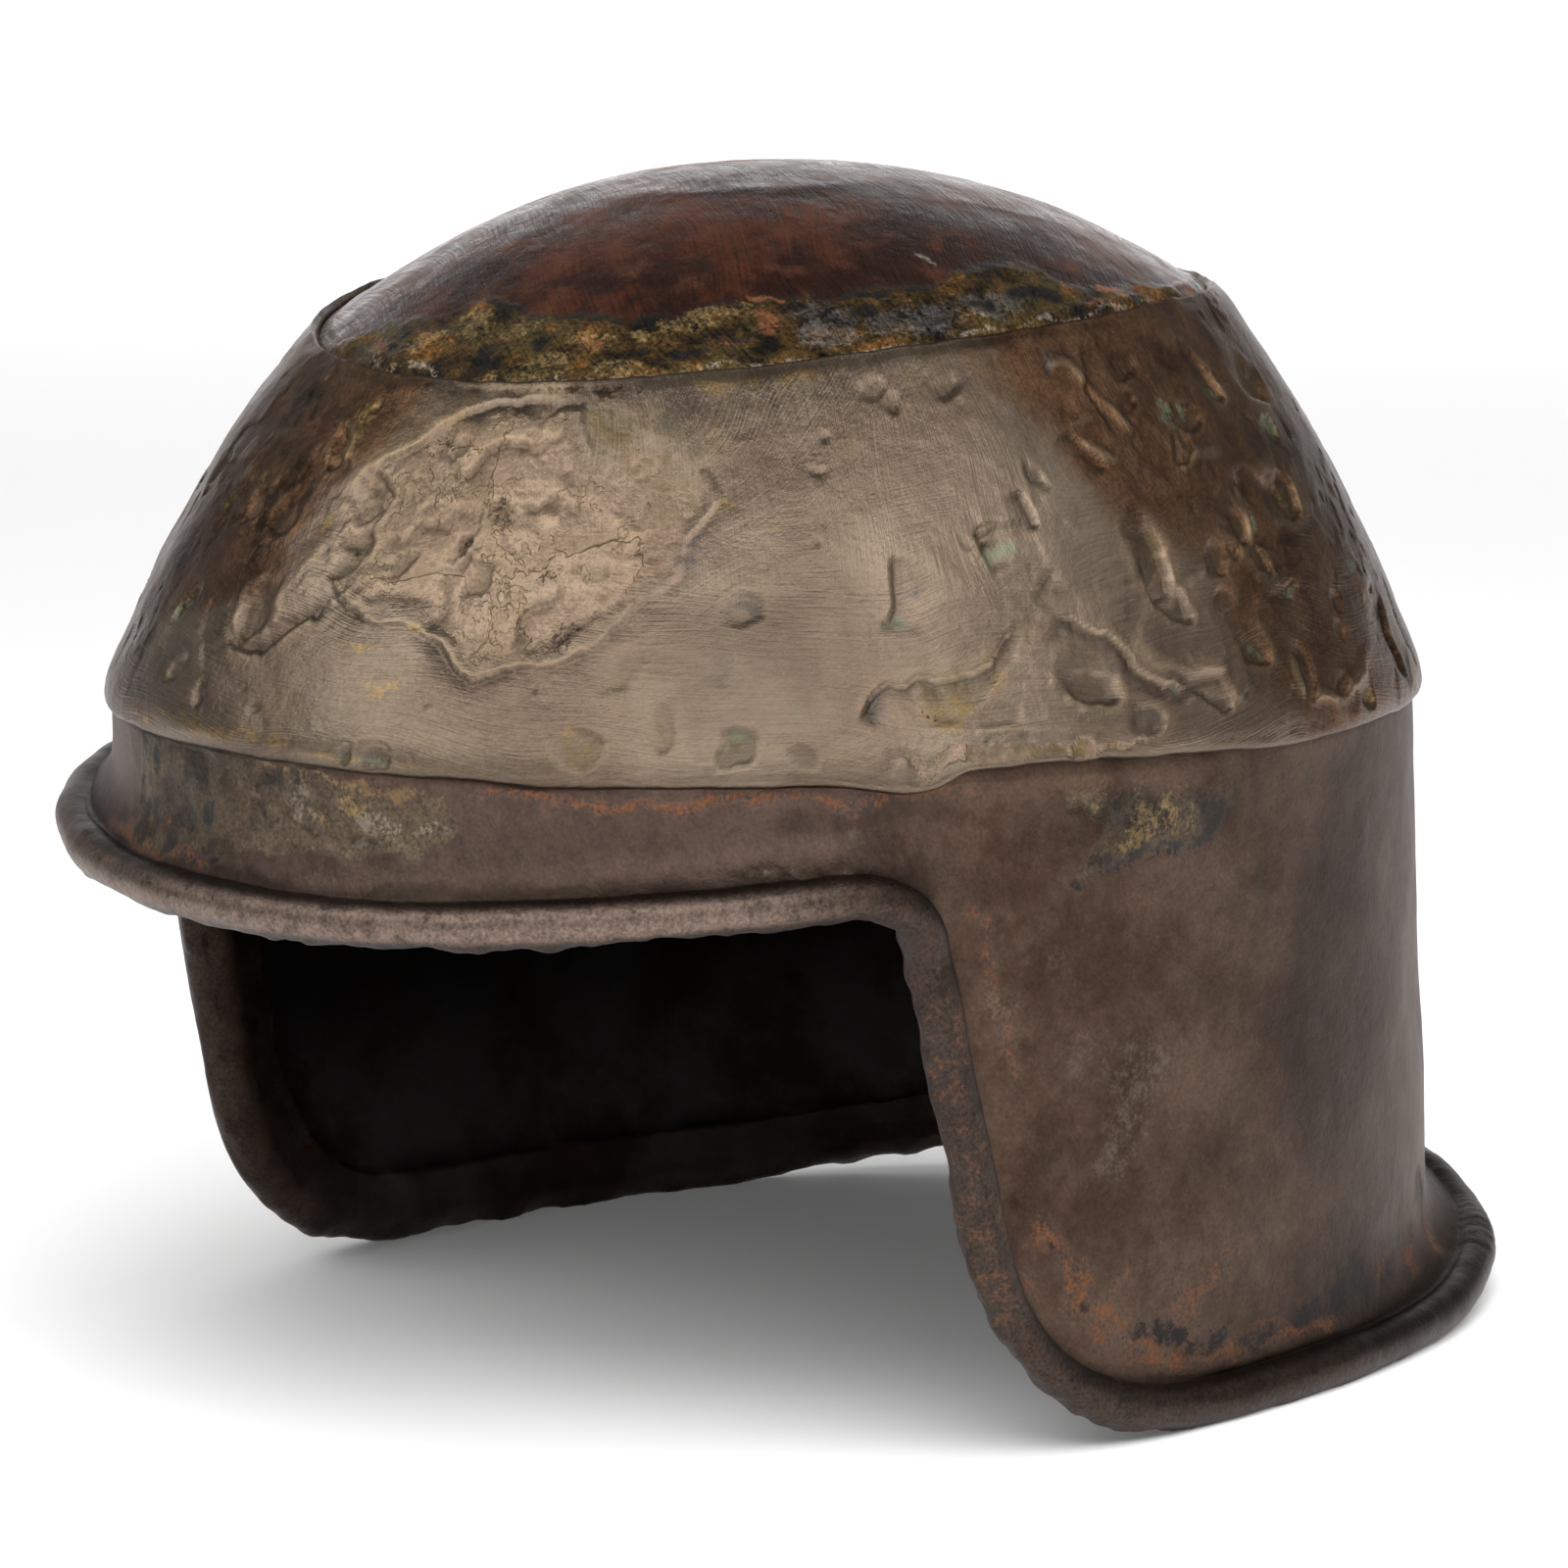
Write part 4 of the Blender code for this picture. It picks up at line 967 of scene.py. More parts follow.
def body_rings(routes):
    """Rings of the lower body, with what each ring's points are: place and kind."""
    left, right = routes
    reach, height, stand_off, top_angle = [
        np.concatenate([one, sign * other[-2:0:-1]])
        for one, other, sign in zip(left, right, (-1, 1, 1, -1))]
    turn = reach / MEAN_RADIUS
    centre = wall(turn, height, stand_off)
    along = np.roll(centre, -1, axis=0) - np.roll(centre, 1, axis=0)
    out = wall(turn, height, stand_off + 1) - centre
    away = unit(np.cross(along, out))
    out = unit(np.cross(away, along))
    flat = np.sum(away[:, :2] * (wall(turn + TINY, height, stand_off) - centre)[:, :2], axis=1)
    away_reach = np.hypot(away[:, 0], away[:, 1]) * np.sign(flat)
    away_height = away[:, 2]

    rows, places, kinds = [], [], []

    def add(points, turns, heights, **kind):
        """Keep a ring, with how much of each kind it is."""
        rows.append(points)
        places.append(np.stack([turns + 0 * reach, heights + 0 * reach], axis=-1))
        kinds.append([kind.get(name, 0.0) for name in BODY_KINDS])

    def sheet(depth, inward, **kind):
        """A ring on the sheet, at a depth from the rolled edge's middle."""
        turns = (reach - away_reach * depth) / MEAN_RADIUS
        heights = height - away_height * depth
        add(wall(turns, heights, flare(stand_off, depth) - inward), turns, heights, **kind)

    edge_turn = (reach - away_reach * FLARE_WIDTH) / MEAN_RADIUS
    edge_height = height - away_height * FLARE_WIDTH
    top_height = band_edge_height(top_angle)

    def upper(share, inward, **kind):
        """A ring between the flare, at share 0, and the band's lower edge, at share 1."""
        turns = edge_turn + (top_angle - edge_turn) * share
        heights = edge_height + (top_height - edge_height) * share
        add(wall(turns, heights, -inward), turns, heights, **kind)

    def lap(inward):
        """A ring on the part of the sheet that goes up inside the band."""
        share = np.full_like(top_angle, BODY_LAP / BAND_HEIGHT)
        add(off_bed(top_angle, share, np.full_like(share, -SEAM_GAP - inward)),
            top_angle, top_height + BODY_LAP)

    lap(0)
    for share in np.linspace(1, 0, UPPER_ROWS):
        upper(share, 0, outer=min(1, (1 - share) * 8))
    for depth in np.linspace(FLARE_WIDTH, 3.6, 16)[1:]:
        sheet(depth, 0, outer=1, crease=math.exp(-((depth - 3.6) / 1.1) ** 2))
    for degrees in np.linspace(212, -54, 26):
        angle = math.radians(degrees)
        ring = centre + ROLL_RADIUS * (math.sin(angle) * out + math.cos(angle) * away)
        add(ring, turn, height, roll=1, nibbled=float(smooth_step(degrees, 40, 5)),
            top=float(smooth_step(degrees, 30, 60) * smooth_step(degrees, 165, 130)),
            crease=float(smooth_step(degrees, 170, 212)))
    inner = BODY_SHEET + HEM_SHEET
    for depth in (0.5, 1.8, 3.2, 4.6, 6.0, 7.2, 8.2, HEM_WIDTH):
        sheet(depth, inner, hem=1)
    sheet(HEM_WIDTH + 0.5, inner - 0.5, hem=1)
    sheet(HEM_WIDTH + 0.9, BODY_SHEET, inside=1)
    for share in np.linspace(0, 1, 12):
        upper(share, BODY_SHEET, inside=1)
    lap(BODY_SHEET)
    by_name = np.array(kinds).T[:, :, None] + 0 * reach
    return np.stack(rows), np.stack(places), dict(zip(BODY_KINDS, by_name))


def make_body(material):
    """Brow, flaps and neck guard, with the rolled edge and the rough hem inside it."""
    routes = edge_route(LEFT_STATIONS), edge_route(RIGHT_STATIONS)
    points, places, kinds = body_rings(routes)
    outer, roll, hem, inside = [kinds[name] for name in ("outer", "roll", "hem", "inside")]
    turn, height = np.degrees(places[..., 0]), places[..., 1]
    ground = Ground(turn, height, 1.0, points)

    relief = outer * (0.45 * noise(points, 40, 41) + 0.2 * noise(points, 18, 42)
                      + 0.07 * rough(points, 6, 43))
    relief += roll * (0.30 * noise(points, 14, 44) + 0.10 * rough(points, 5, 45))
    relief += kinds["nibbled"] * (0.95 * rough(points, 8.0, 54, 3) - 0.15)
    relief += hem * (0.75 * rough(points, 5.5, 46) + 0.3)
    relief += inside * 0.35 * noise(points, 14, 47)
    solder = np.maximum(smooth_step(ground.area(RIGHT_SOLDER, 1.3), -0.8, 1.4),
                        smooth_step(ground.area(LEFT_SOLDER, 1.6), -1.2, 2.0))
    solder = solder * outer
    relief += solder * (0.28 + 0.50 * rough(points, 9.0, 48))
    for ridge in BODY_RIDGES:
        relief += outer * ridge.rise * ground.ridge(ridge)
    crack_and_shadow_line = np.zeros_like(relief)
    for fold in BODY_FOLDS:
        below, foot = ground.fold(fold)
        relief -= outer * below
        crack_and_shadow_line = np.maximum(crack_and_shadow_line, outer * foot)
    wrinkles = np.sin((turn + 1.2 * noise(points, 6, 55)) * 3.4) * np.exp(-((turn - 143) / 7) ** 2)
    relief += roll * 0.08 * wrinkles

    normals = grid_normals(points)
    finished = points + normals * relief[..., None] + SHIFT
    finished[..., 2] = np.maximum(finished[..., 2], 0.05)
    sheet = np.stack([places[..., 0] * BODY_MAP_RADIUS, height], axis=-1)
    masks = {"solder": solder, "roll": roll, "crack_and_shadow_line": crack_and_shadow_line, "crease": kinds["crease"],
             "inside": np.maximum(inside, hem * 0.8), "stands_out": above_mean(relief),
             "wear_and_sheen": kinds["top"] * smooth_step(np.abs(turn), 60, 46) * (height > 60),
             "brow": outer * smooth_step(np.abs(turn), 70, 55),
             "stroked": smooth_step(np.abs(turn), *STROKES_FADE)}
    for tone, marks in BODY_STAINS.items():
        masks[tone] = ground.stains(marks, 1.3) * np.maximum(outer, roll * 0.6)
    add_old_stains(masks, ground, (130, 285), (8, 26),
                   [("rust", 8, 26, 6, 1), ("black", 9, 16, 6, 1)], outer)
    add_old_stains(masks, ground, (130, 325), (30, 112),
                   [("dark", 10, 22, 12, 1), ("scuff", 11, 12, 12, 0.7)], outer)
    return make_plate("lower_body_skin", finished, sheet, material, masks)


# Finishes

class Value:
    """A socket that Python's operators add Math nodes to."""

    def __init__(self, finish, socket):
        self.finish = finish
        self.socket = socket

    def math(self, operation, *values):
        return self.finish.node("ShaderNodeMath", {"operation": operation}, dict(enumerate(values)))

    def __add__(self, other):
        return self.math("ADD", self, other)

    def __sub__(self, other):
        return self.math("SUBTRACT", self, other)

    def __rsub__(self, other):
        return self.math("SUBTRACT", other, self)

    def __mul__(self, other):
        return self.math("MULTIPLY", self, other)

    __radd__ = __add__
    __rmul__ = __mul__

    def most(self, other):
        """The larger of two values."""
        return self.math("MAXIMUM", self, other)

    def step(self, low, high):
        """0 at low and 1 at high, with level ends."""
        return self.finish.node("ShaderNodeMapRange", {"interpolation_type": "SMOOTHSTEP"},
                                {"Value": self, "From Min": low, "From Max": high})


class Tree:
    """A node tree that is written as expressions."""

    def __init__(self, tree):
        self.tree = tree

    def feed(self, socket, value):
        """Link a value to a socket, or set the socket to a number or colour."""
        if isinstance(value, Value):
            self.tree.links.new(value.socket, socket)
        elif isinstance(value, tuple) and len(value) == 3 and socket.type == "RGBA":
            socket.default_value = (*value, 1.0)
        else:
            socket.default_value = value

    def node(self, kind, settings=None, sockets=None, output=0):
        """A node: its settings are set first, then the values or links of its sockets."""
        made = self.tree.nodes.new(kind)
        for name, value in (settings or {}).items():
            setattr(made, name, value)
        for name, value in (sockets or {}).items():
            self.feed(made.inputs[name], value)
        return Value(self, made.outputs[output])

    def vector(self, operation, first, second, output=0):
        """A sum, product or the like of two vectors."""
        return self.node("ShaderNodeVectorMath", {"operation": operation}, {0: first, 1: second},
                         output)


# The slow bend of brushed strokes in mm: the size of its curves and how far they go
STROKE_BEND_SIZE = 45
STROKE_BEND = 22


class Finish(Tree):
    """A material."""

    def __init__(self, name):
        self.material = bpy.data.materials.new(name)
        self.material.use_nodes = True
        super().__init__(self.material.node_tree)
        self.shader = self.tree.nodes["Principled BSDF"]
        self.place = self.node("ShaderNodeTexCoord", output="Object")
        self.sheet = self.node("ShaderNodeUVMap", {"uv_map": "sheet"})

    def mask(self, name):
        """A value that the mesh carries."""
        return self.node("ShaderNodeAttribute", {"attribute_name": name}, output="Fac")

    def noise(self, size, detail, roughness=0.55, distortion=0.0):
        """Random values about 0.5, with patches of about the given size in millimetres."""
        return self.node("ShaderNodeTexNoise", None, {
            "Vector": self.place, "Scale": 1 / (size * MM), "Detail": detail,
            "Roughness": roughness, "Distortion": distortion})

    def noises(self, *rows):
        """Noise of four sizes, from broad to grain, and specks made of the two finest."""
        broad, middle, fine, grain = [self.noise(*row) for row in rows]
        return broad, middle, fine, grain, (fine * 0.6 + grain * 0.4).step(0.40, 0.60)

    def strokes(self, lean, length, width):
        """Random values drawn out into curved strokes that lie at an angle on the sheet."""
        drift = self.node("ShaderNodeTexNoise", None, {
            "Vector": self.place, "Scale": 1 / (STROKE_BEND_SIZE * MM), "Detail": 1.0}, "Color")
        drift = self.scaled(drift, STROKE_BEND * MM)
        bent = self.vector("ADD", self.sheet, drift)
        turned = self.node("ShaderNodeVectorRotate", {"rotation_type": "Z_AXIS"},
                           {"Vector": bent, "Angle": math.radians(lean)})
        pulled = self.vector("MULTIPLY", turned, (1 / (length * MM), 1 / (width * MM), 1.0))
        drawn = self.node("ShaderNodeTexNoise", None, {
            "Vector": pulled, "Scale": 1.0, "Detail": 3.0, "Roughness": 0.6})
        return (drawn - 0.5) * self.mask("stroked") + 0.5

    def mix(self, factor, first, second):
        """A colour between two others."""
        return self.node("ShaderNodeMix", {"data_type": "RGBA"},
                         {0: factor, 6: first, 7: second}, 2)

    def layered(self, colour, *layers):
        """A colour with others laid over it in turn, each by its factor."""
        for factor, over in layers:
            colour = self.mix(factor, colour, over)
        return colour

    def scaled(self, colour, factor):
        """A colour made brighter or darker, or an arrow made longer or shorter."""
        return self.node("ShaderNodeVectorMath", {"operation": "SCALE"},
                         {0: colour, "Scale": factor})

    def bump(self, height):
        """Send small relief, in millimetres, to the shader's normal."""
        self.feed(self.shader.inputs["Normal"], self.node("ShaderNodeBump", None, {
            "Height": height, "Distance": MM, "Strength": 1.0}))

    def finish(self, colour, metallic, roughness):
        """Send the main values to the shader."""
        self.feed(self.shader.inputs["Base Color"], colour)
        self.feed(self.shader.inputs["Metallic"], metallic)
        self.feed(self.shader.inputs["Roughness"], roughness)
        return self.material


# How the plates' other tones look, as linear colours
TONES = {
    "olive": (0.130, 0.095, 0.038),
    "gold": (0.290, 0.195, 0.080),
    "green": (0.200, 0.230, 0.150),
    "dark": (0.026, 0.014, 0.007),
    "ash": (0.120, 0.112, 0.105),
    "black": (0.014, 0.013, 0.013),
    "rust": (0.160, 0.058, 0.020),
    "pale": (0.260, 0.215, 0.170),
    "scuff": (0.150, 0.130, 0.108),
}


def toned(f, colour, strengths, speck, broken=1.0):
    """A colour with other tones over it, each broken up by specks."""
    for name, strength in strengths.items():
        shown = (f.mask(name) * 1.4 + (speck - 1) * broken).step(0.0, 0.9)
        colour = f.mix(shown * strength, colour, TONES[name])
    return colour


def shaded(f, colour, relief, dirt_and_shade=0.42):
    """A colour darker where low, from dirt and painted shade, and paler where raised, from wear and
    painted highlight.
    """
    low = relief.step(0.0, -0.45)
    high = relief.step(0.0, 0.45)
    return f.scaled(colour, 1 - low * dirt_and_shade + high * 0.18)


def band_bronze():
    """Worn bronze with brushed marks, dark sides, and green and olive corrosion and painted shade
    in its hollows.
    """
    f = Finish("band_bronze_worn")
    broad, middle, fine, grain, speck = f.noises((28, 4), (9, 6, 0.6), (3, 6, 0.65), (0.8, 4, 0.7))
    share = f.mask("height_share")
    patina = (f.mask("patina") + (middle - 0.5) * 0.9 + (fine - 0.5) * 0.4).step(0.1, 0.9)
    hollow = (f.mask("hollow") + (fine - 0.5) * 0.5).step(0.3, 0.9)
    corroded = (f.mask("corroded") + (fine - 0.5) * 0.7).step(0.3, 0.8)
    crack_and_shadow_line = (f.mask("crack_and_shadow_line") + (fine - 0.5) * 0.5).step(0.25, 0.7)
    pits = (f.mask("pits") * 0.5 + (grain - 0.5) * 1.6).step(0.42, 0.62)
    gilded = f.mask("gilded")
    ochre = ((middle - 0.5) * 2.2 + (share - 0.75) * 1.2 + gilded * 0.35).step(0.05, 0.9) * speck
    plateau = f.noise(20, 5, 0.55, distortion=0.4)
    flake = f.noise(9, 5, 0.6)
    raised = plateau.step(0.490, 0.505) * 0.6 + flake.step(0.58, 0.60) * 0.4
    brink = plateau.step(0.480, 0.492) - plateau.step(0.500, 0.515)

    level, steep, slanted = f.strokes(5, 11, 0.38), f.strokes(80, 9, 0.42), f.strokes(-38, 9, 0.36)
    upper = (share + (f.noise(18, 2) - 0.5) * 1.5).step(0.35, 0.75)
    brushed = (level * (1 - upper) + steep * upper) * 0.7 + slanted * 0.3
    scratch = (brushed - 0.5) * 1.35

    colour = f.mix(broad.step(0.35, 0.65), (0.212, 0.154, 0.112), (0.272, 0.210, 0.154))
    colour = f.scaled(colour, 1 - share.step(0.5, 1.0) * 0.12 - gilded * share.step(0.6, 0.1) * 0.3)
    colour = f.mix(ochre * 0.55, colour, (0.225, 0.155, 0.065))
    brown = f.mix(middle.step(0.35, 0.65), (0.098, 0.046, 0.022), (0.150, 0.078, 0.040))
    brown = f.mix(ochre * 0.35, brown, (0.165, 0.105, 0.045))
    colour = f.mix(patina * 0.92, colour, brown)
    old = f.mix(raised, (0.250, 0.176, 0.116), (0.370, 0.268, 0.186))
    old = f.layered(old, (middle.step(0.52, 0.66) * 0.5, (0.190, 0.136, 0.075)),
                    (brink * 0.2, (0.450, 0.340, 0.200)))
    # Hollows get a dark olive tint: corrosion, and painted shade
    colour = f.layered(colour, (corroded * 0.75, old), (hollow * 0.26, (0.110, 0.085, 0.048)))
    colour = toned(f, colour, {"dark": 0.85, "olive": 0.6, "ash": 0.6, "gold": 0.7, "green": 0.65},
                   speck)
    specks = (grain - 0.5) * (0.6 + patina * 1.7 + corroded * 0.9 + gilded * 0.6)
    colour = f.scaled(colour, 1 + scratch * (1 - corroded * 0.4) + (middle - 0.5) * 0.5 + specks)
    colour = f.scaled(colour, 1 - f.mask("shade") * 0.33)
    # Darker in low places (dirt and painted shade), paler on raised ones (wear and painted
    # highlight)
    colour = shaded(f, colour, f.mask("stands_out"), 0.34)
    # Raised places turn paler gold: wear, and a painted highlight where their edges catch light
    colour = f.mix(f.mask("stands_out").step(0.06, 0.30) * 0.35, colour, (0.330, 0.245, 0.150))
    # Painted shade along the band's lower edge, dimming the light on its rounded rim
    colour = f.scaled(colour, 1 - share.step(0.035, 0.0) * 0.45)
    # A painted shadow line at the foot of each fold, then dark pits and dark and gold flecks
    colour = f.layered(colour, (crack_and_shadow_line * 0.4, (0.040, 0.028, 0.016)),
                       (pits * 0.8, (0.035, 0.024, 0.015)),
                       (grain.step(0.58, 0.72) * 0.45, (0.060, 0.042, 0.030)),
                       (grain.step(0.40, 0.30) * 0.35, (0.340, 0.240, 0.120)))

    dull = corroded.most(hollow).most(f.mask("green")).most(f.mask("olive"))
    height = brushed * 0.12 + grain * 0.07 + fine * (0.12 + 0.10 * dull) - pits * 0.2 + middle * 0.3
    f.bump(height + corroded * raised * 0.5)
    roughness = 0.34 + dull * 0.08 + (brushed - 0.5) * 0.25 + (middle - 0.5) * 0.25 + crack_and_shadow_line * 0.2
    return f.finish(colour, 1.0 - dull * 0.15 - crack_and_shadow_line * 0.3, roughness)


def cap_iron():
    """Dark red-brown iron with old solder above the seam."""
    f = Finish("cap_iron_worn")
    broad, middle, fine, grain, speck = f.noises(
        (26, 6, 0.65), (8, 6, 0.6), (3, 6, 0.65), (0.8, 4, 0.7))
    solder = (f.mask("solder") + (fine - 0.5) * 1.2 + (middle - 0.5) * 0.6).step(0.15, 0.85)
    brushed = f.strokes(28, 14, 0.5)
    colour = f.mix(broad.step(0.43, 0.57), (0.018, 0.0046, 0.0015), (0.056, 0.0146, 0.0044))
    colour = f.mix(middle.step(0.52, 0.68) * 0.6, colour, (0.068, 0.024, 0.011))
    old = f.mix(middle.step(0.40, 0.56), (0.014, 0.010, 0.006), (0.076, 0.042, 0.012))
    old = f.layered(old, (broad.step(0.50, 0.58) * 0.7, (0.104, 0.073, 0.024)),
                    (speck * middle.step(0.54, 0.64) * 0.6, (0.270, 0.105, 0.025)))
    colour = f.layered(colour, (solder, old), (solder * (1 - solder) * 2.6, (0.022, 0.014, 0.010)))
    colour = toned(f, colour, {"gold": 0.55, "ash": 0.6, "rust": 0.85, "black": 0.95, "pale": 0.7},
                   speck)
    colour = f.scaled(colour, 0.92 + (brushed - 0.5) * 1.6 + (middle - 0.5) * 1.0
                      + (grain - 0.5) * (1.4 + 2.4 * solder) + (fine - 0.5) * 0.8)
    # Darker in low places (dirt and painted shade), paler on raised ones (wear and painted
    # highlight)
    colour = shaded(f, colour, f.mask("stands_out"))
    # The cap's inner face is painted near black, as shade
    colour = f.mix(f.mask("inside"), colour, (0.004, 0.003, 0.003))
    rusty = f.mask("rust")
    height = brushed * 0.24 + fine * (0.20 + 0.40 * solder) + grain * 0.10 + middle * 0.55
    f.bump(height)
    roughness = (0.30 + solder * 0.10 + (brushed - 0.5) * 0.5 + (middle - 0.5) * 0.5
                 + f.mask("inside") * 0.3 + rusty * 0.1)
    f.shader.inputs["IOR"].default_value = 1.5
    return f.finish(colour, 0.45 + solder * 0.3 - rusty * 0.2, roughness)


def body_iron():
    """Brown iron with rust at its edge, paler along the top of the brow's roll from wear and a
    painted highlight.
    """
    f = Finish("body_iron_worn")
    broad, middle, fine, grain, speck = f.noises(
        (34, 6, 0.65), (10, 6, 0.65), (2.6, 6, 0.7), (0.7, 4, 0.7))
    solder = (f.mask("solder") + (fine - 0.5) * 0.5).step(0.35, 0.65)
    inside, roll = f.mask("inside"), f.mask("roll")
    brushed = f.strokes(62, 18, 0.6)
    colour = f.mix(broad.step(0.38, 0.62), (0.058, 0.034, 0.023), (0.108, 0.070, 0.050))
    colour = f.layered(colour, (middle.step(0.50, 0.70) * 0.3, (0.140, 0.100, 0.072)),
                       (middle.step(0.46, 0.30) * 0.35, (0.045, 0.026, 0.017)),
                       (f.mask("brow") * 0.5, (0.104, 0.074, 0.064)),
                       (roll * 0.75, (0.036, 0.027, 0.023)),
                       # The top of the brow's roll is paler: wear, and a painted highlight
                       (f.mask("wear_and_sheen") * fine.step(0.10, 0.55) * 0.78, (0.210, 0.154, 0.124)))
    old = f.mix(middle.step(0.42, 0.56), (0.022, 0.016, 0.011), (0.078, 0.054, 0.033))
    old = f.mix(broad.step(0.52, 0.60) * 0.6, old, (0.130, 0.095, 0.060))
    colour = f.mix(solder * 0.9, colour, old)
    # Darker where the dark tones lie: small dark marks, painted shade on the side towards the back,
    # and under the band's edge
    colour = f.scaled(colour, 1 - (f.mask("dark") + (middle - 0.5) * 0.4).step(0.1, 1.0) * 0.45)
    colour = toned(f, colour, {"scuff": 0.35, "pale": 0.45, "gold": 0.4}, speck)
    colour = toned(f, colour, {"rust": 0.7, "black": 0.95}, speck, 1.2)
    crusty = solder.most(f.mask("rust")).most(roll * 0.8)
    colour = f.scaled(colour, 1 + (brushed - 0.5) * (1 - roll) * 0.3 + (fine - 0.5) * 1.1
                      + (grain - 0.5) * (1.0 + crusty * 1.8))
    # Darker in low places (dirt and painted shade), paler on raised ones (wear and painted
    # highlight)
    colour = shaded(f, colour, f.mask("stands_out") * (1 - roll * 0.5))
    freckle = (grain * 0.6 + fine * 0.4).step(0.58, 0.68)
    colour = f.layered(colour, (freckle * 0.3, TONES["rust"]),
                       # Painted shade in the crease at the roll
                       (f.mask("crease") * 0.5, (0.022, 0.016, 0.012)),
                       # A painted shadow line at the foot of each fold
                       (f.mask("crack_and_shadow_line") * 0.8, (0.016, 0.012, 0.010)))
    # The inside and most of the hem are painted near black as shade, and painted brighter towards
    # the floor, where the floor's light reaches
    inside_shade = f.mix(broad.step(0.40, 0.60), (0.018, 0.011, 0.008), (0.034, 0.030, 0.029))
    rise = f.node("ShaderNodeSeparateXYZ", None, {"Vector": f.place}, "Z")
    inside_shade = f.scaled(inside_shade, 0.35 + rise.step(0.055, 0.015) * 1.3)
    colour = f.mix(inside, colour, inside_shade)
    rusty = f.mask("rust").most(f.mask("black") * 0.7)
    height = fine * (0.16 + 0.35 * rusty + 0.2 * solder) + grain * 0.08 + brushed * 0.03
    f.bump(height + middle * 0.3)
    roughness = (0.49 + rusty * 0.2 + inside * 0.2 - roll * 0.05 + (middle - 0.5) * 0.25
                 + (fine - 0.5) * 0.2)
    return f.finish(colour, 1.0 - rusty * 0.5 - solder * 0.25, roughness)


# Camera, floor and light. Turns and rises are in degrees, the camera's lengths in mm and the
# floor's in metres. The backdrop is bright behind the helmet, towards the middle and low down, and
# its pairs are the cosines between which it fades.

CAMERA_RISE = 10.3
CAMERA_ROLL = -0.58
CAMERA_DISTANCE = 1500.0
PIXELS_PER_MM = 5.94
AIM_HEIGHT = 100.0
AIM_ACROSS = -0.9
AIM_UP = -4.7
PICTURE = 1600
SENSOR = 36.0
CLIP_NEAR = 0.05
CLIP_FAR = 50.0
FLOOR_REACH = 6.0
FLOOR_WHITE = (0.80, 0.80, 0.80)
FLOOR_GLOW_NEAR = (0.08, 0.08, 0.08)
FLOOR_GLOW_FAR = (0.60, 0.60, 0.60)
FLOOR_GLOW_STARTS = 0.9
FLOOR_GLOW_ENDS = 2.6
BACKDROP_SIDES = (0.50, 0.14)
BACKDROP_FRONT = (0.0, 0.2)
BACKDROP_TOP = (0.52, 0.12)
BACKDROP_BRIGHT = 1.85
STUDIO_DIM = 0.17

# The soft lights, in metres. Each stands at a distance from a point above the middle of the floor,
# by turn and rise. It faces back that way, or faces down and then shows in no gloss.
Lamp = namedtuple("Lamp", "name turn rise distance above faces_down width height brightness")
LAMPS = [
    Lamp("front", 60, 37, 1.4, 0.12, False, 1.9, 0.78, 2.35),
    Lamp("left", -18, 37, 1.5, 0.12, False, 1.7, 0.78, 2.3),
    Lamp("right", 128, 38, 1.5, 0.12, False, 1.3, 0.9, 0.6),
    Lamp("ceiling", 56, 0, 1.2, 1.5, True, 2.0, 2.0, 4.4),
    Lamp("behind", 226, 0, 3.0, 1.5, True, 3.2, 2.4, 2.0),
]


def toward(turn, rise):
    """The direction of a place round the helmet, by degrees round it and above the floor."""
    turn, rise = math.radians(turn), math.radians(rise)
    return Vector((math.sin(turn) * math.cos(rise), -math.cos(turn) * math.cos(rise),
                   math.sin(rise)))


def make_camera():
    """The camera at the photograph's place."""
    back = toward(FACING, CAMERA_RISE)
    right = toward(FACING + 90, 0)
    up = back.cross(right)
    aim = right * AIM_ACROSS + up * AIM_UP + Vector((0, 0, AIM_HEIGHT))
    data = bpy.data.cameras.new("camera")
    data.sensor_width = SENSOR
    data.lens = PIXELS_PER_MM * CAMERA_DISTANCE * SENSOR / PICTURE
    data.clip_start = CLIP_NEAR
    data.clip_end = CLIP_FAR
    camera = bpy.data.objects.new("camera", data)
    roll = math.radians(CAMERA_ROLL)
    side = right * math.cos(roll) + up * math.sin(roll)
    top = up * math.cos(roll) - right * math.sin(roll)
    pose = Matrix((side, top, back)).transposed().to_4x4()
    pose.translation = (aim + back * CAMERA_DISTANCE) * MM
    camera.matrix_world = pose
    bpy.context.scene.collection.objects.link(camera)
    bpy.context.scene.camera = camera


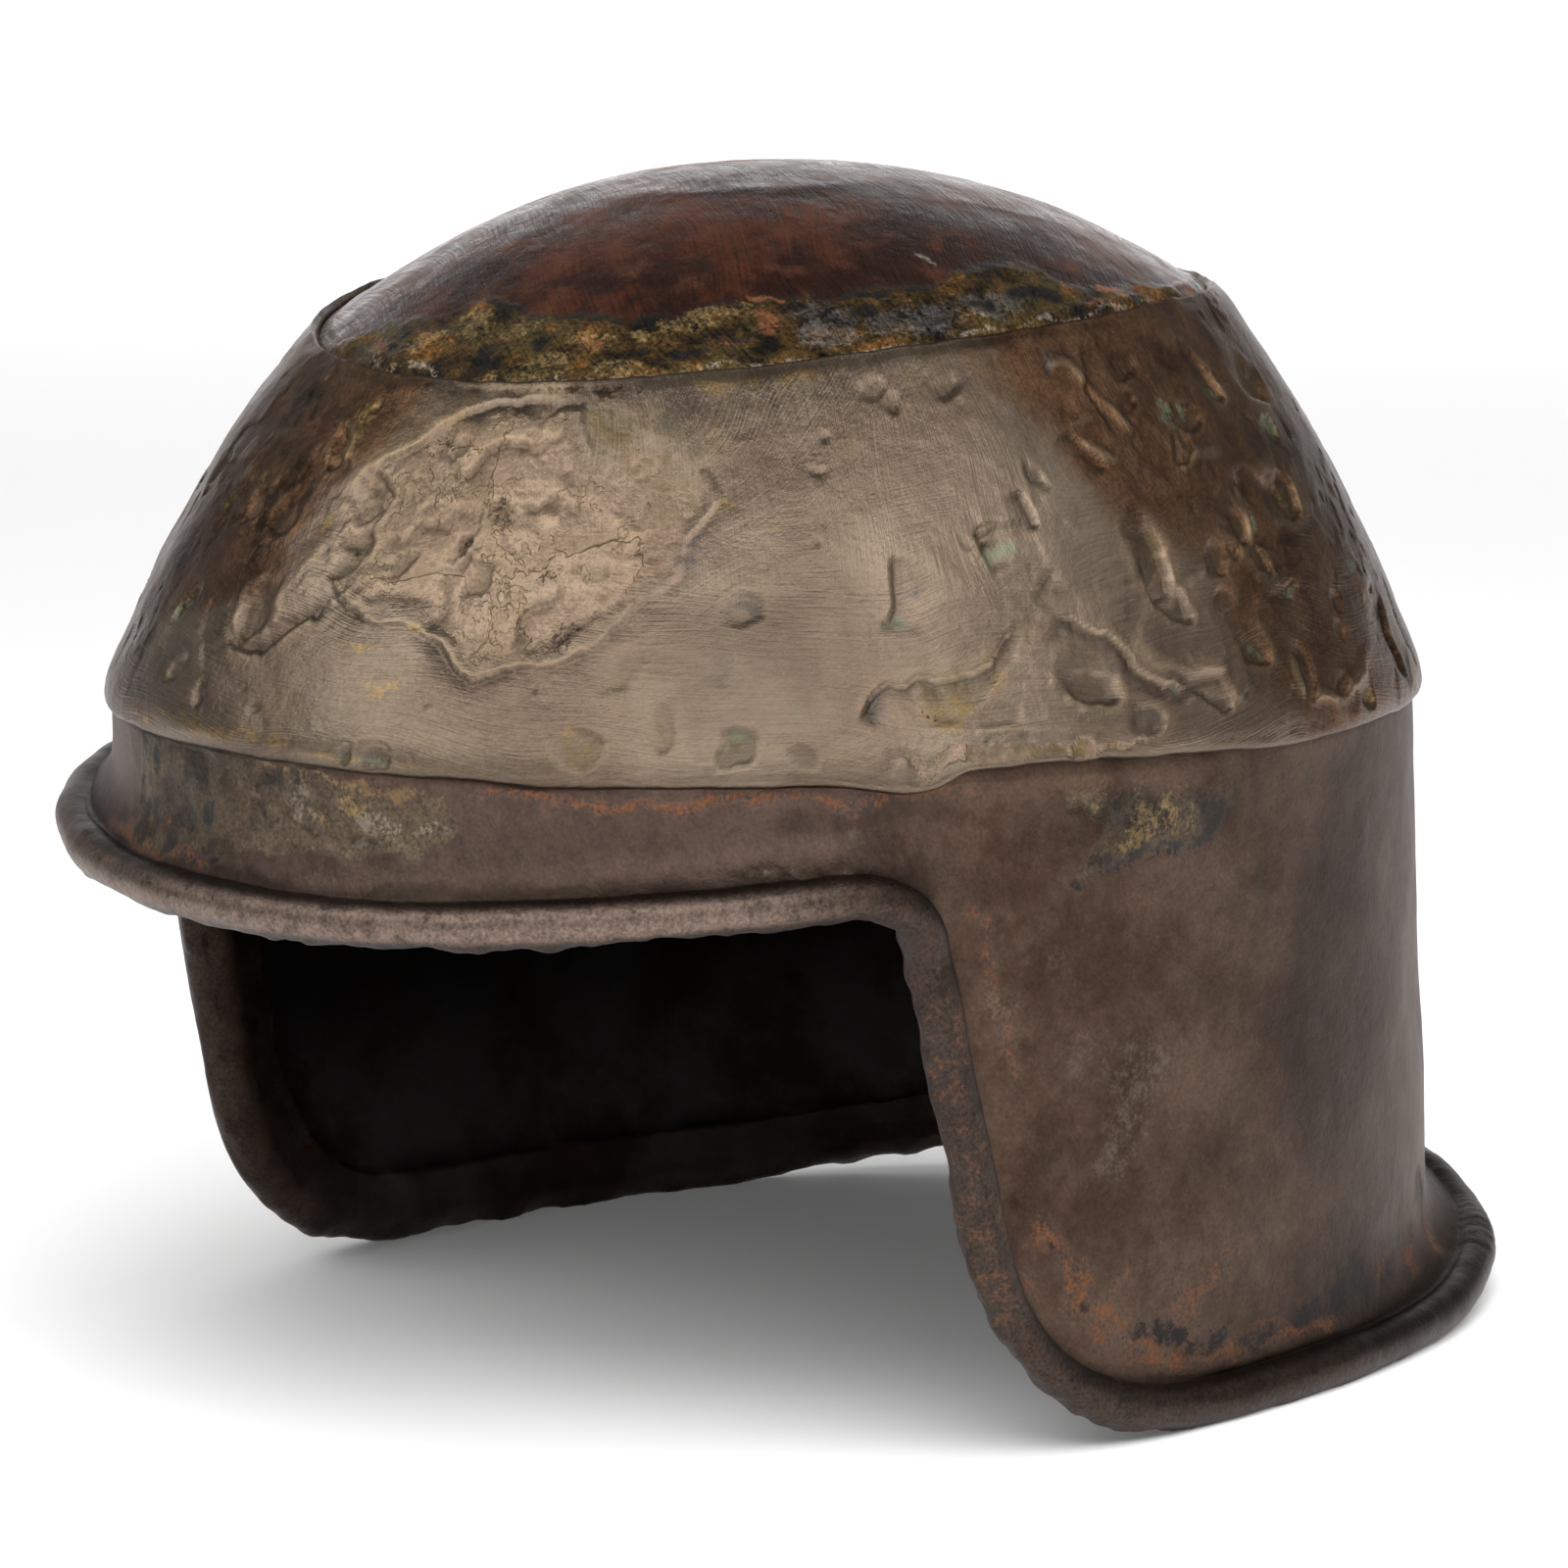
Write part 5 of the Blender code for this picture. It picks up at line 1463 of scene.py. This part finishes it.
def make_floor():
    """A wide pale floor."""
    mesh = bpy.data.meshes.new("floor")
    corners = [(-1, -1), (1, -1), (1, 1), (-1, 1)]
    corners = [(x * FLOOR_REACH, y * FLOOR_REACH, 0) for x, y in corners]
    mesh.from_pydata(corners, [], [(0, 1, 2, 3)])
    finish = Finish("floor_white")
    far = finish.node("ShaderNodeVectorMath", {"operation": "LENGTH"}, {0: finish.place}, "Value")
    glow = finish.mix(far.step(FLOOR_GLOW_STARTS, FLOOR_GLOW_ENDS), FLOOR_GLOW_NEAR, FLOOR_GLOW_FAR)
    for name, value in {"Base Color": FLOOR_WHITE, "Roughness": 0.7, "Specular IOR Level": 0.2,
                        "Emission Color": glow, "Emission Strength": 1.0}.items():
        finish.feed(finish.shader.inputs[name], value)
    mesh.materials.append(finish.material)
    floor = bpy.data.objects.new("floor", mesh)
    bpy.context.scene.collection.objects.link(floor)


def soft_light(lamp):
    """A soft light with its back to where it stands, as bright as a white wall times brightness."""
    outward = toward(lamp.turn, lamp.rise)
    data = bpy.data.lights.new(lamp.name, "AREA")
    data.shape = "RECTANGLE"
    data.size = lamp.width
    data.size_y = lamp.height
    data.energy = lamp.brightness * math.pi * lamp.width * lamp.height
    light = bpy.data.objects.new(lamp.name, data)
    light.location = outward * lamp.distance + Vector((0, 0, lamp.above))
    light.rotation_mode = "QUATERNION"
    back = toward(0, 90) if lamp.faces_down else outward
    light.rotation_quaternion = back.to_track_quat("Z", "Y")
    light.visible_glossy = not lamp.faces_down
    bpy.context.scene.collection.objects.link(light)


def make_light():
    """A dim studio with a low white backdrop behind the helmet, and the soft lights."""
    world = bpy.data.worlds.new("studio")
    world.use_nodes = True
    sky = Tree(world.node_tree)
    direction = sky.node("ShaderNodeTexCoord", output="Generated")
    ways = [toward(FACING + 180, 0), toward(FACING + 90, 0), Vector((0, 0, 1))]
    behind, aside, rise = [
        sky.vector("DOT_PRODUCT", direction, tuple(way), "Value") for way in ways]
    aside = aside.math("ABSOLUTE", aside)
    backdrop = behind.step(*BACKDROP_FRONT) * aside.step(*BACKDROP_SIDES) * rise.step(*BACKDROP_TOP)
    bright = backdrop * (BACKDROP_BRIGHT - STUDIO_DIM) + STUDIO_DIM
    background = world.node_tree.nodes["Background"]
    sky.feed(background.inputs["Strength"], bright)
    sky.feed(background.inputs["Color"], (1.0, 1.0, 1.0))
    bpy.context.scene.world = world
    for lamp in LAMPS:
        soft_light(lamp)


for piece, node, slot in ((make_band(band_bronze()), "middle_band", "band_bronze"),
                          (make_cap(cap_iron()), "skull_cap", "cap_iron"),
                          (make_body(body_iron()), "lower_body", "body_iron")):
    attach(piece, "root")
    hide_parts(node)
make_camera()
make_floor()
make_light()
bpy.context.scene.view_settings.view_transform = "Standard"
